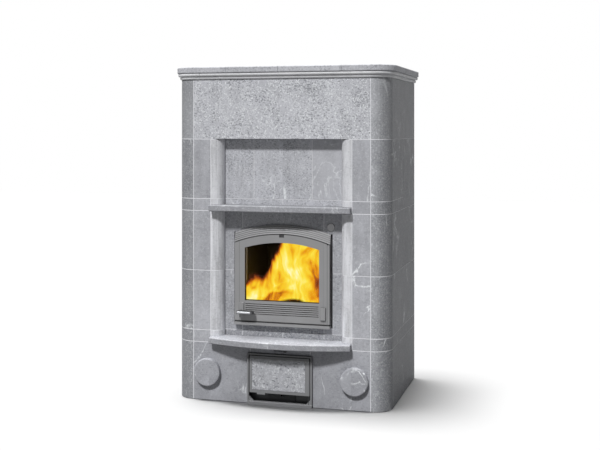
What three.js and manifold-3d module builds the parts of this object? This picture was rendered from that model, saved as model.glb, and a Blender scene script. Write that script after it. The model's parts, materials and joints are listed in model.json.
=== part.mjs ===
// Tiled stove: separate soapstone courses round a stone core, with a cast fire door and an ash door.
// Millimetres, +Z up. X runs to the right and Y from the front face of the body to its back.
// The origin is on the floor, under the middle of the body.

import * as THREE from "three";
import { mergeVertices } from "three/addons/utils/BufferGeometryUtils.js";
import Module from "manifold-3d";

const wasm = await Module();
wasm.setup();

// Body
const bodyWidth = 1100;
const bodyDepth = 730;
const cornerRadius = 88; // rounded front corners
const sideThickness = 60;
const frontThickness = 110;
const backThickness = 60;
const bed = 0.3; // gap between pieces that bear on each other
const arris = 2; // chamfer on the edges of a stone, so that two make a V joint
const cutDepth = 3; // how far a cutting tool runs past the face that it opens
const weld = 1; // how far the parts of one casting run into each other

// Courses, from the floor up
const baseHeight = 293;
const beltHeight = 61;
const rowHeight = 301;
const mouldingHeight = 31;
const topSlabHeight = 30;

// Front, from each corner inwards
const cornerWidth = 92.5;
const flatWidth = 92.5;
const pilasterWidth = 60;
const pilasterRadius = 46;
const recessDepth = 50;
const cheekWidth = 93; // strip of the recess that belongs to the jamb stones
const nichePanelWidth = 304;
const nicheStoneDepth = 378; // how far the niche course's corner stone reaches back

// Shelves
const shelfThickness = 32;
const shelfReach = 40;
const hearthBow = 60; // extra reach of the hearth shelf at its middle
const shelfEase = 4;

// Cornice
const slabOverhang = 23;
const upperBeadOverhang = 19;
const lowerBeadOverhang = 9;
const beadQuirk = 6; // how far the moulding steps in beside a bead
const slabEase = 4;
const moulding = { joints: [-419, -5, 419], slot: 1.5, depth: 12.5 };
const fascia = { joints: [-276, -5, 317], slot: 1.5, depth: 15 };

// Fire door and its frame
const doorHalfWidth = 248;
const doorLift = 30; // frame's foot above the low belt
const doorHeight = 506;
const headerRadius = 737;
const headerBand = 45;
const headerGrooves = 4;
const headerLean = 14; // how far the header's face leans back over its band
const leanSteps = 120;
const grooveWidth = 3;
const grooveDepth = 2.5;
const frontProud = 22; // leaf and header in front of the recess
const leafThickness = 18;
const leafGap = 0.8;
const seamWidth = 2.3; // open line over and under the leaf
const sillBarHeight = 17.5;
const sillBarProud = 8;
const openingSideGap = 8;
const openingTopGap = 11;
const openingRadius = 656;
const frameLip = 41; // frame seen round its mouth, behind the leaf
const frameWall = 8;
const flangeThickness = 12;
const glassSide = 55; // leaf beside the glass
const glassBottom = 104; // leaf under the glass
const glassTop = 41.5; // leaf over the glass
const glassThickness = 4;
const glassLap = 12; // glass hidden behind the leaf
const retainerThickness = 1.7;
const retainerWidth = 14;
const gasketInset = 16;
const gasketWidth = 7.4;
const gasketDepth = 5;
const hingeRound = 5.5; // round front edge of the leaf, about its hinge rod
const hingeRodRadius = 2.5;
const hingeRunning = 0.4;
const hingeStep = 9; // leaf top kept level this far from the rod, so that it clears the header
const rodEntry = 8;
const notchWidth = 25;
const notchHeight = 15;
const notchDepth = 6;

// Louvres under the glass
const louvreCount = 6;
const louvrePitch = 10;
const louvreHeight = 4;
const louvreDepth = 6;
const louvreRise = 3; // how far each slot climbs on its way in
const louvreFoot = 33.2; // lowest slot above the leaf's bottom edge
const louvreInset = 58; // slot ends inside the leaf's edges

// Latch handle
const latchInset = 38; // shaft inside the leaf's free edge
const latchLift = 50; // shaft above the leaf's bottom edge
const latchShaftRadius = 6;
const latchBoss = { width: 26, up: 43, down: 26, proud: 8, ease: 1.5 };
const handleReach = 56;
const handleLength = 86;
const handleThickness = 8;
const handleRoll = 7; // radius of the rolled front edge
const handleInset = 12; // shaft from the handle's left end
const handleEndRadius = 22;
const shaftCollar = { radius: 9, thickness: 3, play: 0.5 };

// Air slide of the fire door
const airGrip = { width: 26, height: 63, proud: 10, ease: 2, inset: 34, bottom: 22 };
const airTravel = 12;
const airStem = { width: 6, height: 10, fromRight: 8 };
const shutter = { thickness: 2.7, inset: 63, low: 37, high: 85, clearance: 2, pocket: 5 };

// Round plain boss over the frame's upper right corner
const boss = { radius: 20, proud: 5, ease: 1.5, belowApex: 7 };

// Ash door
const ashHalfWidth = 167;
const ashHeight = 253;
const ashWall = 8;
const ashProud = 14; // casing in front of the base stones
const ashLedge = { reach: 18, height: 16, back: 12 };
const ashGusset = { leg: 24, thickness: 9, inset: 4 };
const ashLeaf = { bottom: 58, gap: 3.5, topGap: 3, inset: 1, thickness: 20 };
const ashBorder = { free: 13, hinge: 23, foot: 15, top: 18.5 };
const ashPanelDepth = 14;
const ashPanelSink = 1;
const ashTab = { left: -116, width: 42, height: 7, depth: 12 };
const ashEase = 1;
const lintelLap = 12; // how far the base fronts reach in over the ash frame
const ashRodRadius = 3;
const ashRodRunning = 0.4;
const ashRodInset = 6;
const ashPort = { y: 36, thickness: 4, halfWidth: 50, low: 14, high: 40, top: 49 };
const ashSlide = { halfWidth: 70, thickness: 3, y: 30, top: 45 };
const ashKnob = { radius: 4.5, reach: 22, below: 4 };
const guideRib = { width: 3, height: 6, play: 0.4 };

// Air lever over the ash door
const leverSlot = { halfWidth: 33, height: 9, low: 13.5 };
const lever = { width: 8, reach: 130, stand: 4 };
const leverKnob = { width: 12, height: 12, depth: 12, ease: 1.5 };

// Soot covers
const sootX = 379;
const sootHeight = 144;
const sootRadius = 69;
const sootProud = 25;
const sootEase = 5;
const spigotRadius = 58.5;
const spigotLength = 45;
const spigotPlay = 0.5;

// Core
const baseSlabHeight = 50;
const hearthHeight = 400; // firebox floor above the outer floor
const fireboxStep = 3; // firebox wall outside the frame's mouth
const fireboxDepth = 370;
const fireboxHeight = 465;
const liningThickness = 40;
const throat = { halfWidth: 150, depth: 70, fromBack: 30 };
const pit = { step: 20, depth: 370, wall: 20 }; // step: pit wall inside the ash frame
const grateSize = { width: 260, depth: 210, thickness: 18, ledge: 15, y: 290 };
const grateSlots = { count: 8, width: 11, length: 170 };
const channel = { width: 140, front: 90, back: 450 };
const rearPassage = { low: 50, height: 200 }; // the ash pit has the same ceiling
const upperChamber = { halfWidth: 200, front: 90, top: 119 };
const crossover = { front: 140, back: 290, height: 120 };
const flueZ = 180;
const flueRadius = 77;
const flueWall = 3;
const flueReach = 30;
const flueFlange = { radius: 95, thickness: 3 };
const fluePlay = 0.4;
const pan = { play: 12, depth: 310, height: 58, wall: 2.5, back: 20, pullWidth: 60, pull: 10 };

// Steps round curves
const cornerSteps = 10;
const roundSteps = 28;
const archSteps = 20;
const bowSteps = 16;
const rodSteps = 16;
const rollSteps = 14;
const hingeSteps = 10;
const handleSteps = 8;
const pilasterSteps = 6;
const beadSteps = 6;
const edgeSteps = 2;

// Values worked out from the sizes above
const halfWidth = bodyWidth / 2;
const seamX = halfWidth - cornerWidth;
const flatX = seamX - flatWidth;
const recessX = flatX - pilasterWidth;
const cheekX = recessX - cheekWidth;
const shelfX = flatX - arris;
const shellBack = frontThickness - bed;
const sideInner = halfWidth - sideThickness;
const coreHalfWidth = sideInner - bed;
const coreBack = bodyDepth - backThickness - bed;
const lowBelt = baseHeight;
const lowerRow = lowBelt + beltHeight;
const upperRow = lowerRow + rowHeight;
const highBelt = upperRow + rowHeight;
const nicheRow = highBelt + beltHeight;
const friezeRow = nicheRow + rowHeight;
const corniceFoot = friezeRow + rowHeight;
const topSlabFoot = corniceFoot + mouldingHeight;

const doorFoot = lowerRow + doorLift;
const doorApex = doorFoot + doorHeight;
const archCentre = doorApex - headerRadius; // every arch of the door is struck from this height
const doorFront = recessDepth - frontProud;
const leafBack = doorFront + leafThickness;
const frameFront = leafBack + leafGap;
const leafFoot = doorFoot + sillBarHeight + seamWidth;
const leafRadius = headerRadius - headerBand - seamWidth;
const hingeX = doorHalfWidth - hingeRound;
const hingeY = doorFront + hingeRound;
const mouthHalfWidth = doorHalfWidth - frameLip;
const mouthFoot = doorFoot + frameLip;
const mouthRadius = leafRadius - frameLip - leafGap;
const glassHalfWidth = doorHalfWidth - glassSide;
const glassFoot = leafFoot + glassBottom;
const glassRadius = leafRadius - glassTop;
const glassBack = leafBack - retainerThickness - bed;
const glassFront = glassBack - glassThickness;
const latchX = latchInset - doorHalfWidth;
const latchZ = leafFoot + latchLift;
const collarFront = leafBack - shaftCollar.thickness - bed;
const gripX = doorHalfWidth - airGrip.inset;
const shutterX = doorHalfWidth - shutter.inset;
const louvreX = doorHalfWidth - louvreInset;

const ashLeafX = ashHalfWidth - ashWall - ashLeaf.gap;
const ashLeafTop = ashHeight - ashWall - ashLeaf.topGap;
const ashRodX = ashLeafX - ashRodInset;
const ashLeafFront = ashLeaf.inset - ashProud;
const ashRodY = ashLeafFront + ashRodInset;
const ashLeafBack = ashLeafFront + ashLeaf.thickness;
const lintelX = ashHalfWidth - lintelLap;

const fireboxHalfWidth = mouthHalfWidth + fireboxStep;
const pitX = ashHalfWidth - pit.step;
const panX = pitX - pan.play;
const channelX = sootX - channel.width / 2;

// ---------- Shape tools ----------

function toSolid(geometry) {
  const bare = geometry.clone();
  bare.deleteAttribute("normal");
  bare.deleteAttribute("uv");
  const merged = mergeVertices(bare, 1e-4);
  return new wasm.Manifold(
    new wasm.Mesh({
      numProp: 3,
      vertProperties: merged.attributes.position.array,
      triVerts: new Uint32Array(merged.index.array),
    }),
  );
}

function toGeometry(solid) {
  const mesh = solid.getMesh();
  const geometry = new THREE.BufferGeometry();
  geometry.setAttribute("position", new THREE.BufferAttribute(mesh.vertProperties, 3));
  geometry.setIndex(new THREE.BufferAttribute(mesh.triVerts, 1));
  geometry.computeVertexNormals();
  return geometry;
}

function join(first, ...others) {
  return others.reduce((whole, piece) => whole.add(piece), first);
}

function cut(first, ...tools) {
  return tools.reduce((rest, tool) => rest.subtract(tool), first);
}

function box(x0, x1, y0, y1, z0, z1) {
  const geometry = new THREE.BoxGeometry(x1 - x0, y1 - y0, z1 - z0);
  geometry.translate((x0 + x1) / 2, (y0 + y1) / 2, (z0 + z1) / 2);
  return toSolid(geometry);
}

// An outline of [a, b] points, extruded by length with both ends eased by a chamfer.
function extrude(points, length, ease) {
  const shape = new THREE.Shape(points.map(([a, b]) => new THREE.Vector2(a, b)));
  const geometry = new THREE.ExtrudeGeometry(shape, {
    depth: length - 2 * ease,
    steps: 1,
    bevelEnabled: ease > 0,
    bevelThickness: ease,
    bevelSize: ease,
    bevelOffset: -ease,
    bevelSegments: 1,
  });
  geometry.translate(0, 0, ease);
  return geometry;
}

// Plan outline (x, y) carried up from z0 to z1.
function upright(points, z0, z1, ease = 0) {
  const geometry = extrude(points, z1 - z0, ease);
  geometry.translate(0, 0, z0);
  return toSolid(geometry);
}

// Front outline (x, z) carried back from y0 to y1.
function inward(points, y0, y1, ease = 0) {
  const geometry = extrude(points, y1 - y0, ease);
  geometry.rotateX(Math.PI / 2);
  geometry.translate(0, y1, 0);
  return toSolid(geometry);
}

// Side outline (y, z) carried across from x0 to x1.
function across(points, x0, x1, ease = 0) {
  const geometry = extrude(points, x1 - x0, ease);
  geometry.rotateZ(Math.PI / 2);
  geometry.rotateY(Math.PI / 2);
  geometry.translate(x0, 0, 0);
  return toSolid(geometry);
}

// Round peg along Y.
function peg(x, z, radius, y0, y1, steps = roundSteps) {
  const geometry = new THREE.CylinderGeometry(radius, radius, y1 - y0, steps);
  geometry.translate(x, (y0 + y1) / 2, z);
  return toSolid(geometry);
}

// Round rod along Z.
function rod(x, y, radius, z0, z1, steps = rodSteps) {
  const geometry = new THREE.CylinderGeometry(radius, radius, z1 - z0, steps);
  geometry.rotateX(Math.PI / 2);
  geometry.translate(x, y, (z0 + z1) / 2);
  return toSolid(geometry);
}

// Profile of [radius, y] points turned about an axis along Y.
function turned(profile, x, z, steps = roundSteps) {
  const points = profile.map(([radius, y]) => new THREE.Vector2(radius, y));
  const geometry = new THREE.LatheGeometry(points, steps);
  geometry.translate(x, 0, z);
  return toSolid(geometry);
}

function arc(centreA, centreB, radius, from, to, steps) {
  return Array.from({ length: steps + 1 }, (_, i) => {
    const angle = THREE.MathUtils.degToRad(from + ((to - from) * i) / steps);
    return [centreA + radius * Math.cos(angle), centreB + radius * Math.sin(angle)];
  });
}

function mirrored(points) {
  return points.map(([x, y]) => [-x, y]).reverse();
}

// The same outline for the right (side 1) or the left (side -1).
function onSide(side, points) {
  return side > 0 ? points : mirrored(points);
}

// A body of stacked rings: each ring holds the same count of points, and flat caps close both ends.
function stacked(rings) {
  const count = rings[0].length;
  const positions = rings.flat(2);
  const index = [];
  for (let r = 0; r + 1 < rings.length; r += 1) {
    for (let i = 0; i < count; i += 1) {
      const next = (i + 1) % count;
      const low = r * count;
      const high = low + count;
      index.push(low + i, low + next, high + next);
      index.push(low + i, high + next, high + i);
    }
  }
  const capOf = (ring) => {
    const flat = ring.map(([x, y]) => new THREE.Vector2(x, y));
    return THREE.ShapeUtils.triangulateShape(flat, []);
  };
  const top = (rings.length - 1) * count;
  capOf(rings[0]).forEach(([a, b, c]) => index.push(a, c, b));
  capOf(rings[rings.length - 1]).forEach(([a, b, c]) => index.push(top + a, top + b, top + c));
  const geometry = new THREE.BufferGeometry();
  geometry.setAttribute("position", new THREE.Float32BufferAttribute(positions, 3));
  geometry.setIndex(index);
  return toSolid(geometry);
}

// ---------- Outlines of the shell, for the right side ----------

function groove(x) {
  return [
    [x - arris, 0],
    [x, arris],
    [x + arris, 0],
  ];
}

// From the recess round the pilaster's edge to the front face.
function pilasterEdge() {
  return arc(recessX + pilasterRadius, pilasterRadius, pilasterRadius, 180, 270, pilasterSteps);
}

function roundCorner() {
  return arc(halfWidth - cornerRadius, cornerRadius, cornerRadius, -90, 0, cornerSteps);
}

// Outline between the recess and the seam beside the corner stone.
function jambOutline(innerX) {
  const cheek =
    innerX < recessX
      ? [
          [innerX, recessDepth + arris],
          [innerX + arris, recessDepth],
          [recessX, recessDepth],
        ]
      : [];
  return [
    [innerX, shellBack],
    ...cheek,
    ...pilasterEdge(),
    ...groove(flatX),
    [seamX - bed / 2 - arris, 0],
    [seamX - bed / 2, arris],
    [seamX - bed / 2, shellBack],
  ];
}

// Outline of a corner stone that runs back along the side as far as endY.
function sideOutline(endY) {
  return [
    [seamX + bed / 2, shellBack],
    [seamX + bed / 2, arris],
    [seamX + bed / 2 + arris, 0],
    ...roundCorner(),
    [halfWidth, endY - arris],
    [halfWidth - arris, endY],
    [sideInner, endY],
    [sideInner, shellBack],
  ];
}

// Outline of a belt stone: pilaster, flat, corner and side in one.
function beltOutline() {
  return [
    [recessX, shellBack],
    ...pilasterEdge(),
    ...groove(flatX),
    ...groove(seamX),
    ...roundCorner(),
    [halfWidth, bodyDepth - arris],
    [halfWidth - arris, bodyDepth],
    [sideInner, bodyDepth],
    [sideInner, shellBack],
  ];
}

// Outline of a stone set between two upright edges, with its face at faceY.
function panelOutline(x0, x1, faceY, joints = []) {
  const notches = joints.flatMap((x) => groove(x).map(([a, b]) => [a, faceY + b]));
  return [
    [x0, shellBack],
    [x0, faceY + arris],
    [x0 + arris, faceY],
    ...notches,
    [x1 - arris, faceY],
    [x1, faceY + arris],
    [x1, shellBack],
  ];
}

// A stone between two bed joints.
function stone(outline, z0, z1) {
  return upright(outline, z0, z1 - bed, arris);
}

// ---------- Outlines of the door ----------

// Straight foot and sides with an arched head struck from archCentre or a given centre.
function archOutline(halfSpan, foot, radius, centre = archCentre) {
  const half = THREE.MathUtils.radToDeg(Math.asin(halfSpan / radius));
  return [[-halfSpan, foot], [halfSpan, foot], ...arc(0, centre, radius, 90 - half, 90 + half, archSteps)];
}

// Band between two arches, with upright ends.
function archBand(halfSpan, inner, outer) {
  const outerHalf = THREE.MathUtils.radToDeg(Math.asin(halfSpan / outer));
  const innerHalf = THREE.MathUtils.radToDeg(Math.asin(halfSpan / inner));
  return [
    ...arc(0, archCentre, outer, 90 - outerHalf, 90 + outerHalf, archSteps),
    ...arc(0, archCentre, inner, 90 + innerHalf, 90 - innerHalf, archSteps),
  ];
}

function stoneOpening() {
  const outline = archOutline(
    doorHalfWidth + openingSideGap,
    doorFoot - bed,
    openingRadius,
    doorApex + openingTopGap - openingRadius,
  );
  return inward(outline, -cutDepth, frontThickness + cutDepth);
}

// ---------- Stone shell ----------

function sideStone(side, z0, z1, endY = bodyDepth) {
  return stone(onSide(side, sideOutline(endY)), z0, z1);
}

function shelfClearance(z0) {
  const half = shelfX + bed;
  return box(-half, half, -cutDepth, recessDepth + bed, z0 - cutDepth, z0 + shelfThickness + bed);
}

function beltStone(side, z0) {
  return cut(stone(onSide(side, beltOutline()), z0, z0 + beltHeight), shelfClearance(z0));
}

function baseFront(side) {
  const seam = seamX - bed / 2;
  const inner = lintelX + bed;
  const half = ashHalfWidth + bed;
  const face = side > 0 ? panelOutline(inner, seam, 0) : panelOutline(-seam, -inner, 0);
  return cut(
    stone(face, 0, baseHeight),
    box(-half, half, -cutDepth, frontThickness + cutDepth, -cutDepth, ashHeight + bed),
    peg(side * sootX, sootHeight, spigotRadius + spigotPlay, -cutDepth, frontThickness + cutDepth),
  );
}

function ashLintel() {
  const slotFoot = ashHeight + leverSlot.low;
  return cut(
    stone(panelOutline(-lintelX, lintelX, 0), ashHeight + bed, baseHeight),
    box(
      -leverSlot.halfWidth,
      leverSlot.halfWidth,
      -cutDepth,
      frontThickness + cutDepth,
      slotFoot,
      slotFoot + leverSlot.height,
    ),
  );
}

// The threshold course of the recess, with the strip under the door's foot on top of it.
function sillStone() {
  const half = recessX - bed;
  const strip = cheekX - bed;
  const web = strip - arris;
  return join(
    stone(panelOutline(-half, half, recessDepth + bed, [-cheekX, 0, cheekX]), lowBelt, lowerRow),
    stone(panelOutline(-strip, strip, recessDepth), lowerRow, doorFoot),
    box(-web, web, recessDepth + 2 * arris, shellBack, lowBelt + arris, doorFoot - arris - bed),
  );
}

function jambStone(side, z0) {
  return cut(stone(onSide(side, jambOutline(cheekX)), z0, z0 + rowHeight), stoneOpening());
}

function nicheJamb(side) {
  return stone(onSide(side, jambOutline(recessX)), nicheRow, friezeRow);
}

function doorArch() {
  const half = cheekX - bed;
  return cut(stone(panelOutline(-half, half, recessDepth), upperRow + arris, highBelt), stoneOpening());
}

// Corner stone of the niche course, with the taller slab behind it.
function nicheSide(side) {
  const slabOutline = [
    [halfWidth - arris, nicheStoneDepth],
    [halfWidth, nicheStoneDepth + arris],
    [halfWidth, bodyDepth - arris],
    [halfWidth - arris, bodyDepth],
    [sideInner, bodyDepth],
    [sideInner, nicheStoneDepth],
  ];
  return join(
    sideStone(side, nicheRow, friezeRow, nicheStoneDepth),
    stone(onSide(side, slabOutline), highBelt, friezeRow),
    nicheWeb(side),
  );
}

// Web behind the niche side's joint, which is only cut into its face.
function nicheWeb(side) {
  const outer = halfWidth - 2 * arris;
  const x0 = side > 0 ? sideInner : -outer;
  const x1 = side > 0 ? outer : -sideInner;
  const y0 = nicheStoneDepth - arris;
  const y1 = nicheStoneDepth + arris;
  return box(x0, x1, y0, y1, nicheRow + arris, friezeRow - arris - bed);
}

// The belt at the mantel shelf stops where the taller side slab begins.
function highBeltStone(side) {
  const inner = sideInner - cutDepth;
  const outer = halfWidth + cutDepth;
  const x0 = side > 0 ? inner : -outer;
  const x1 = side > 0 ? outer : -inner;
  const y0 = nicheStoneDepth - bed;
  return cut(
    beltStone(side, highBelt),
    box(x0, x1, y0, bodyDepth + cutDepth, highBelt - cutDepth, nicheRow + cutDepth),
  );
}

// Belt between the pilasters, behind the mantel shelf.
function recessBelt() {
  const half = recessX - bed;
  return stone(panelOutline(-half, half, recessDepth + bed, [0]), highBelt, nicheRow);
}

function friezeStone() {
  const half = seamX - bed / 2;
  return stone(panelOutline(-half, half, 0), friezeRow, corniceFoot);
}

function straightShelf() {
  const outline = [
    [-shelfX, recessDepth],
    [-shelfX, -shelfReach],
    [shelfX, -shelfReach],
    [shelfX, recessDepth],
  ];
  return upright(outline, highBelt, highBelt + shelfThickness, shelfEase);
}

function bowedShelf() {
  const radius = (shelfX * shelfX + hearthBow * hearthBow) / (2 * hearthBow);
  const half = THREE.MathUtils.radToDeg(Math.asin(shelfX / radius));
  const centreY = radius - shelfReach - hearthBow;
  const outline = [
    [-shelfX, recessDepth],
    ...arc(0, centreY, radius, 270 - half, 270 + half, bowSteps),
    [shelfX, recessDepth],
  ];
  return upright(outline, lowBelt, lowBelt + shelfThickness, shelfEase);
}

// ---------- Cornice ----------

// The body's plan grown by offset at the front and the sides.
function corniceRing(offset, z) {
  const x = halfWidth - cornerRadius;
  const radius = cornerRadius + offset;
  const right = arc(x, cornerRadius, radius, -90, 0, cornerSteps);
  const back = [
    [halfWidth + offset, bodyDepth],
    [-halfWidth - offset, bodyDepth],
  ];
  return [...mirrored(right), ...right, ...back].map(([a, b]) => [a, b, z]);
}

function beadRings(foot, height, overhang) {
  const back = overhang - beadQuirk;
  return arc(0, foot + height / 2, height / 2, -80, 80, beadSteps).map(([out, z]) =>
    corniceRing(back + (beadQuirk * out) / (height / 2), z),
  );
}

// Rings of a slab's rounded edge, from its foot to its top.
function edgeRings(foot, top, overhang, ease) {
  const low = arc(overhang - ease, foot + ease, ease, -90, 0, edgeSteps);
  const high = arc(overhang - ease, top - ease, ease, 0, 90, edgeSteps);
  return [...low, ...high].map(([out, z]) => corniceRing(out, z));
}

function frontSlots({ joints, slot, depth }, overhang, z0, z1) {
  const y0 = -overhang - cutDepth;
  const y1 = depth - overhang;
  return joints.map((x) => box(x - slot / 2, x + slot / 2, y0, y1, z0 - cutDepth, z1 + cutDepth));
}

function corniceMoulding() {
  const bead = mouldingHeight / 2;
  const foot = corniceFoot;
  const head = topSlabFoot - bed;
  const body = stacked([
    corniceRing(0, foot),
    ...beadRings(foot, bead, lowerBeadOverhang),
    ...beadRings(foot + bead, bead - bed, upperBeadOverhang),
    corniceRing(lowerBeadOverhang, head),
  ]);
  return cut(body, ...frontSlots(moulding, upperBeadOverhang, foot, head));
}

function topSlab() {
  const top = topSlabFoot + topSlabHeight;
  const body = stacked(edgeRings(topSlabFoot, top, slabOverhang, slabEase));
  return cut(body, ...frontSlots(fascia, slabOverhang, topSlabFoot, top + cutDepth));
}

// ---------- Back ----------

function backWall() {
  const face = bodyDepth;
  const inner = bodyDepth - backThickness;
  const seams = [lowBelt, upperRow, highBelt, friezeRow].flatMap((z) => [
    [face, z - arris],
    [face - arris, z],
    [face, z + arris],
  ]);
  const outline = [[inner, 0], [face, 0], ...seams, [face, corniceFoot - bed], [inner, corniceFoot - bed]];
  return cut(
    across(outline, -coreHalfWidth, coreHalfWidth),
    peg(0, flueZ, flueRadius + fluePlay, inner - cutDepth, face + cutDepth),
  );
}

function flueCollar() {
  const back = bodyDepth + bed;
  const outer = flueRadius;
  const bore = flueRadius - flueWall;
  return turned(
    [
      [bore, coreBack - backThickness],
      [outer, coreBack - backThickness],
      [outer, back],
      [flueFlange.radius, back],
      [flueFlange.radius, back + flueFlange.thickness],
      [outer, back + flueFlange.thickness],
      [outer, bodyDepth + flueReach],
      [bore, bodyDepth + flueReach],
      [bore, coreBack - backThickness],
    ],
    0,
    flueZ,
  );
}

// ---------- Core ----------

function baseSlab() {
  return box(-coreHalfWidth, coreHalfWidth, frontThickness, coreBack, 0, baseSlabHeight);
}

function sideChannel(side, z0, z1) {
  const x0 = side > 0 ? channelX : -channelX - channel.width;
  return box(x0, x0 + channel.width, frontThickness + channel.front, frontThickness + channel.back, z0, z1);
}

// Centre block round the ash pit. The smoke channels run beside it and behind it.
function coreBase() {
  const foot = baseSlabHeight + bed;
  const top = hearthHeight;
  const front = frontThickness;
  const halfDepth = grateSize.depth / 2;
  const halfGrate = grateSize.width / 2 + bed;
  const shaftX = grateSize.width / 2 - grateSize.ledge;
  const shaftFront = grateSize.y - halfDepth + grateSize.ledge;
  const shaftBack = grateSize.y + halfDepth - grateSize.ledge;
  const grateFoot = top - grateSize.thickness - bed;
  const half = channelX - bed;
  const passageFront = front + pit.depth + pit.wall;
  const passageFoot = foot + rearPassage.low;
  const ceiling = passageFoot + rearPassage.height;
  return cut(
    box(-half, half, front, coreBack, foot, top),
    box(-pitX, pitX, front - cutDepth, front + pit.depth, foot - cutDepth, ceiling),
    box(-shaftX, shaftX, shaftFront, shaftBack, ceiling - cutDepth, top + cutDepth),
    box(
      -halfGrate,
      halfGrate,
      grateSize.y - halfDepth - bed,
      grateSize.y + halfDepth + bed,
      grateFoot,
      top + cutDepth,
    ),
    box(-half - cutDepth, half + cutDepth, passageFront, coreBack + cutDepth, passageFoot, ceiling),
  );
}

function coreBlock() {
  const foot = hearthHeight + bed;
  const top = corniceFoot - bed;
  const front = frontThickness;
  const roof = foot + fireboxHeight + liningThickness;
  const chamberTop = top - upperChamber.top;
  return cut(
    box(-coreHalfWidth, coreHalfWidth, front, coreBack, foot, top),
    box(
      -fireboxHalfWidth - liningThickness - bed,
      fireboxHalfWidth + liningThickness + bed,
      front - cutDepth,
      front + fireboxDepth + liningThickness + bed,
      foot - cutDepth,
      roof + bed,
    ),
    box(
      -upperChamber.halfWidth,
      upperChamber.halfWidth,
      front + upperChamber.front,
      front + fireboxDepth,
      roof - cutDepth,
      chamberTop,
    ),
    box(
      -channelX - channel.width,
      channelX + channel.width,
      front + crossover.front,
      front + crossover.back,
      chamberTop - crossover.height,
      chamberTop,
    ),
    sideChannel(1, foot - cutDepth, chamberTop),
    sideChannel(-1, foot - cutDepth, chamberTop),
  );
}

function fireboxLining() {
  const foot = hearthHeight + bed;
  const front = frontThickness;
  const ceiling = foot + fireboxHeight;
  const outer = fireboxHalfWidth + liningThickness;
  const back = front + fireboxDepth;
  return cut(
    box(-outer, outer, front, back + liningThickness, foot, ceiling + liningThickness),
    box(-fireboxHalfWidth, fireboxHalfWidth, front - cutDepth, back, foot - cutDepth, ceiling),
    box(
      -throat.halfWidth,
      throat.halfWidth,
      back - throat.fromBack - throat.depth,
      back - throat.fromBack,
      ceiling - cutDepth,
      ceiling + liningThickness + cutDepth,
    ),
  );
}

function fireGrate() {
  const { width, depth, thickness, y } = grateSize;
  const z1 = hearthHeight - bed;
  const z0 = z1 - thickness + bed;
  const pitch = (width - 2 * grateSize.ledge) / grateSlots.count;
  const slots = Array.from({ length: grateSlots.count }, (_, i) => {
    const x = (i - (grateSlots.count - 1) / 2) * pitch;
    const halfLength = grateSlots.length / 2;
    return box(
      x - grateSlots.width / 2,
      x + grateSlots.width / 2,
      y - halfLength,
      y + halfLength,
      z0 - cutDepth,
      z1 + cutDepth,
    );
  });
  return cut(box(-width / 2, width / 2, y - depth / 2, y + depth / 2, z0, z1), ...slots);
}

function ashPan() {
  const y1 = frontThickness + pit.depth - pan.back;
  const y0 = y1 - pan.depth;
  const z0 = baseSlabHeight + bed;
  const z1 = z0 + pan.height;
  const tray = cut(
    box(-panX, panX, y0, y1, z0, z1),
    box(pan.wall - panX, panX - pan.wall, y0 + pan.wall, y1 - pan.wall, z0 + pan.wall, z1 + cutDepth),
  );
  const pullTop = z1 - pan.pull;
  const half = pan.pullWidth / 2;
  return join(tray, box(-half, half, y0 - pan.pull, y0 + pan.wall, pullTop - pan.wall, pullTop));
}

// ---------- Fire door ----------

// Depth of the header's face at a radius of the arch: it leans back from the leaf to its top edge.
function headerFace(radius) {
  return doorFront + (headerLean * (radius - headerRadius + headerBand)) / headerBand;
}

function headerGroove(i) {
  const pitch = headerBand / (headerGrooves + 1);
  const radius = headerRadius - headerBand + pitch * (i + 1);
  const outline = archBand(doorHalfWidth + cutDepth, radius - grooveWidth / 2, radius + grooveWidth / 2);
  return inward(outline, doorFront - cutDepth, headerFace(radius) + grooveDepth);
}

// What is cut off in front of the leaning face.
function headerSlope() {
  const inner = headerRadius - headerBand - cutDepth;
  const outer = headerRadius + cutDepth;
  return turned(
    [
      [0, doorFront - cutDepth],
      [outer, doorFront - cutDepth],
      [outer, headerFace(outer)],
      [inner, headerFace(inner)],
      [0, headerFace(inner)],
    ],
    0,
    archCentre,
    leanSteps,
  );
}

function doorFrame() {
  const ring = cut(
    inward(archOutline(doorHalfWidth, doorFoot, headerRadius), frameFront, shellBack),
    inward(
      archOutline(doorHalfWidth - frameWall, doorFoot + frameWall, headerRadius - frameWall),
      frameFront + flangeThickness,
      frontThickness,
    ),
  );
  const sleeve = inward(
    archOutline(mouthHalfWidth + frameWall, mouthFoot - frameWall, mouthRadius + frameWall),
    frameFront,
    shellBack,
  );
  const mouthOutline = archOutline(mouthHalfWidth, mouthFoot, mouthRadius);
  const mouth = inward(mouthOutline, -cutDepth, frontThickness + cutDepth);
  return cut(join(ring, sleeve), mouth);
}

// Arched ribbed band on the frame, with the rod that the leaf hangs on.
function doorHeader() {
  const outline = archBand(doorHalfWidth, headerRadius - headerBand, headerRadius);
  const grooves = Array.from({ length: headerGrooves }, (_, i) => headerGroove(i));
  const band = cut(inward(outline, doorFront, frameFront - bed), headerSlope(), ...grooves);
  const foot = doorFoot + sillBarHeight - rodEntry;
  return join(band, rod(hingeX, hingeY, hingeRodRadius, foot, leafTopAt(hingeX) + rodEntry));
}

function sillBar() {
  const face = doorFront - sillBarProud;
  const back = frameFront - bed;
  const top = doorFoot + sillBarHeight;
  const bar = across(
    [
      [face + arris, doorFoot],
      [back, doorFoot],
      [back, top],
      [face + arris, top],
      [face, top - arris],
      [face, doorFoot + arris],
    ],
    -doorHalfWidth,
    doorHalfWidth,
  );
  const hole = rod(hingeX, hingeY, hingeRodRadius + bed, top - rodEntry - bed, top + cutDepth);
  return cut(bar, hole);
}

function leafTopAt(x) {
  return archCentre + Math.sqrt(leafRadius * leafRadius - x * x);
}

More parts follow.
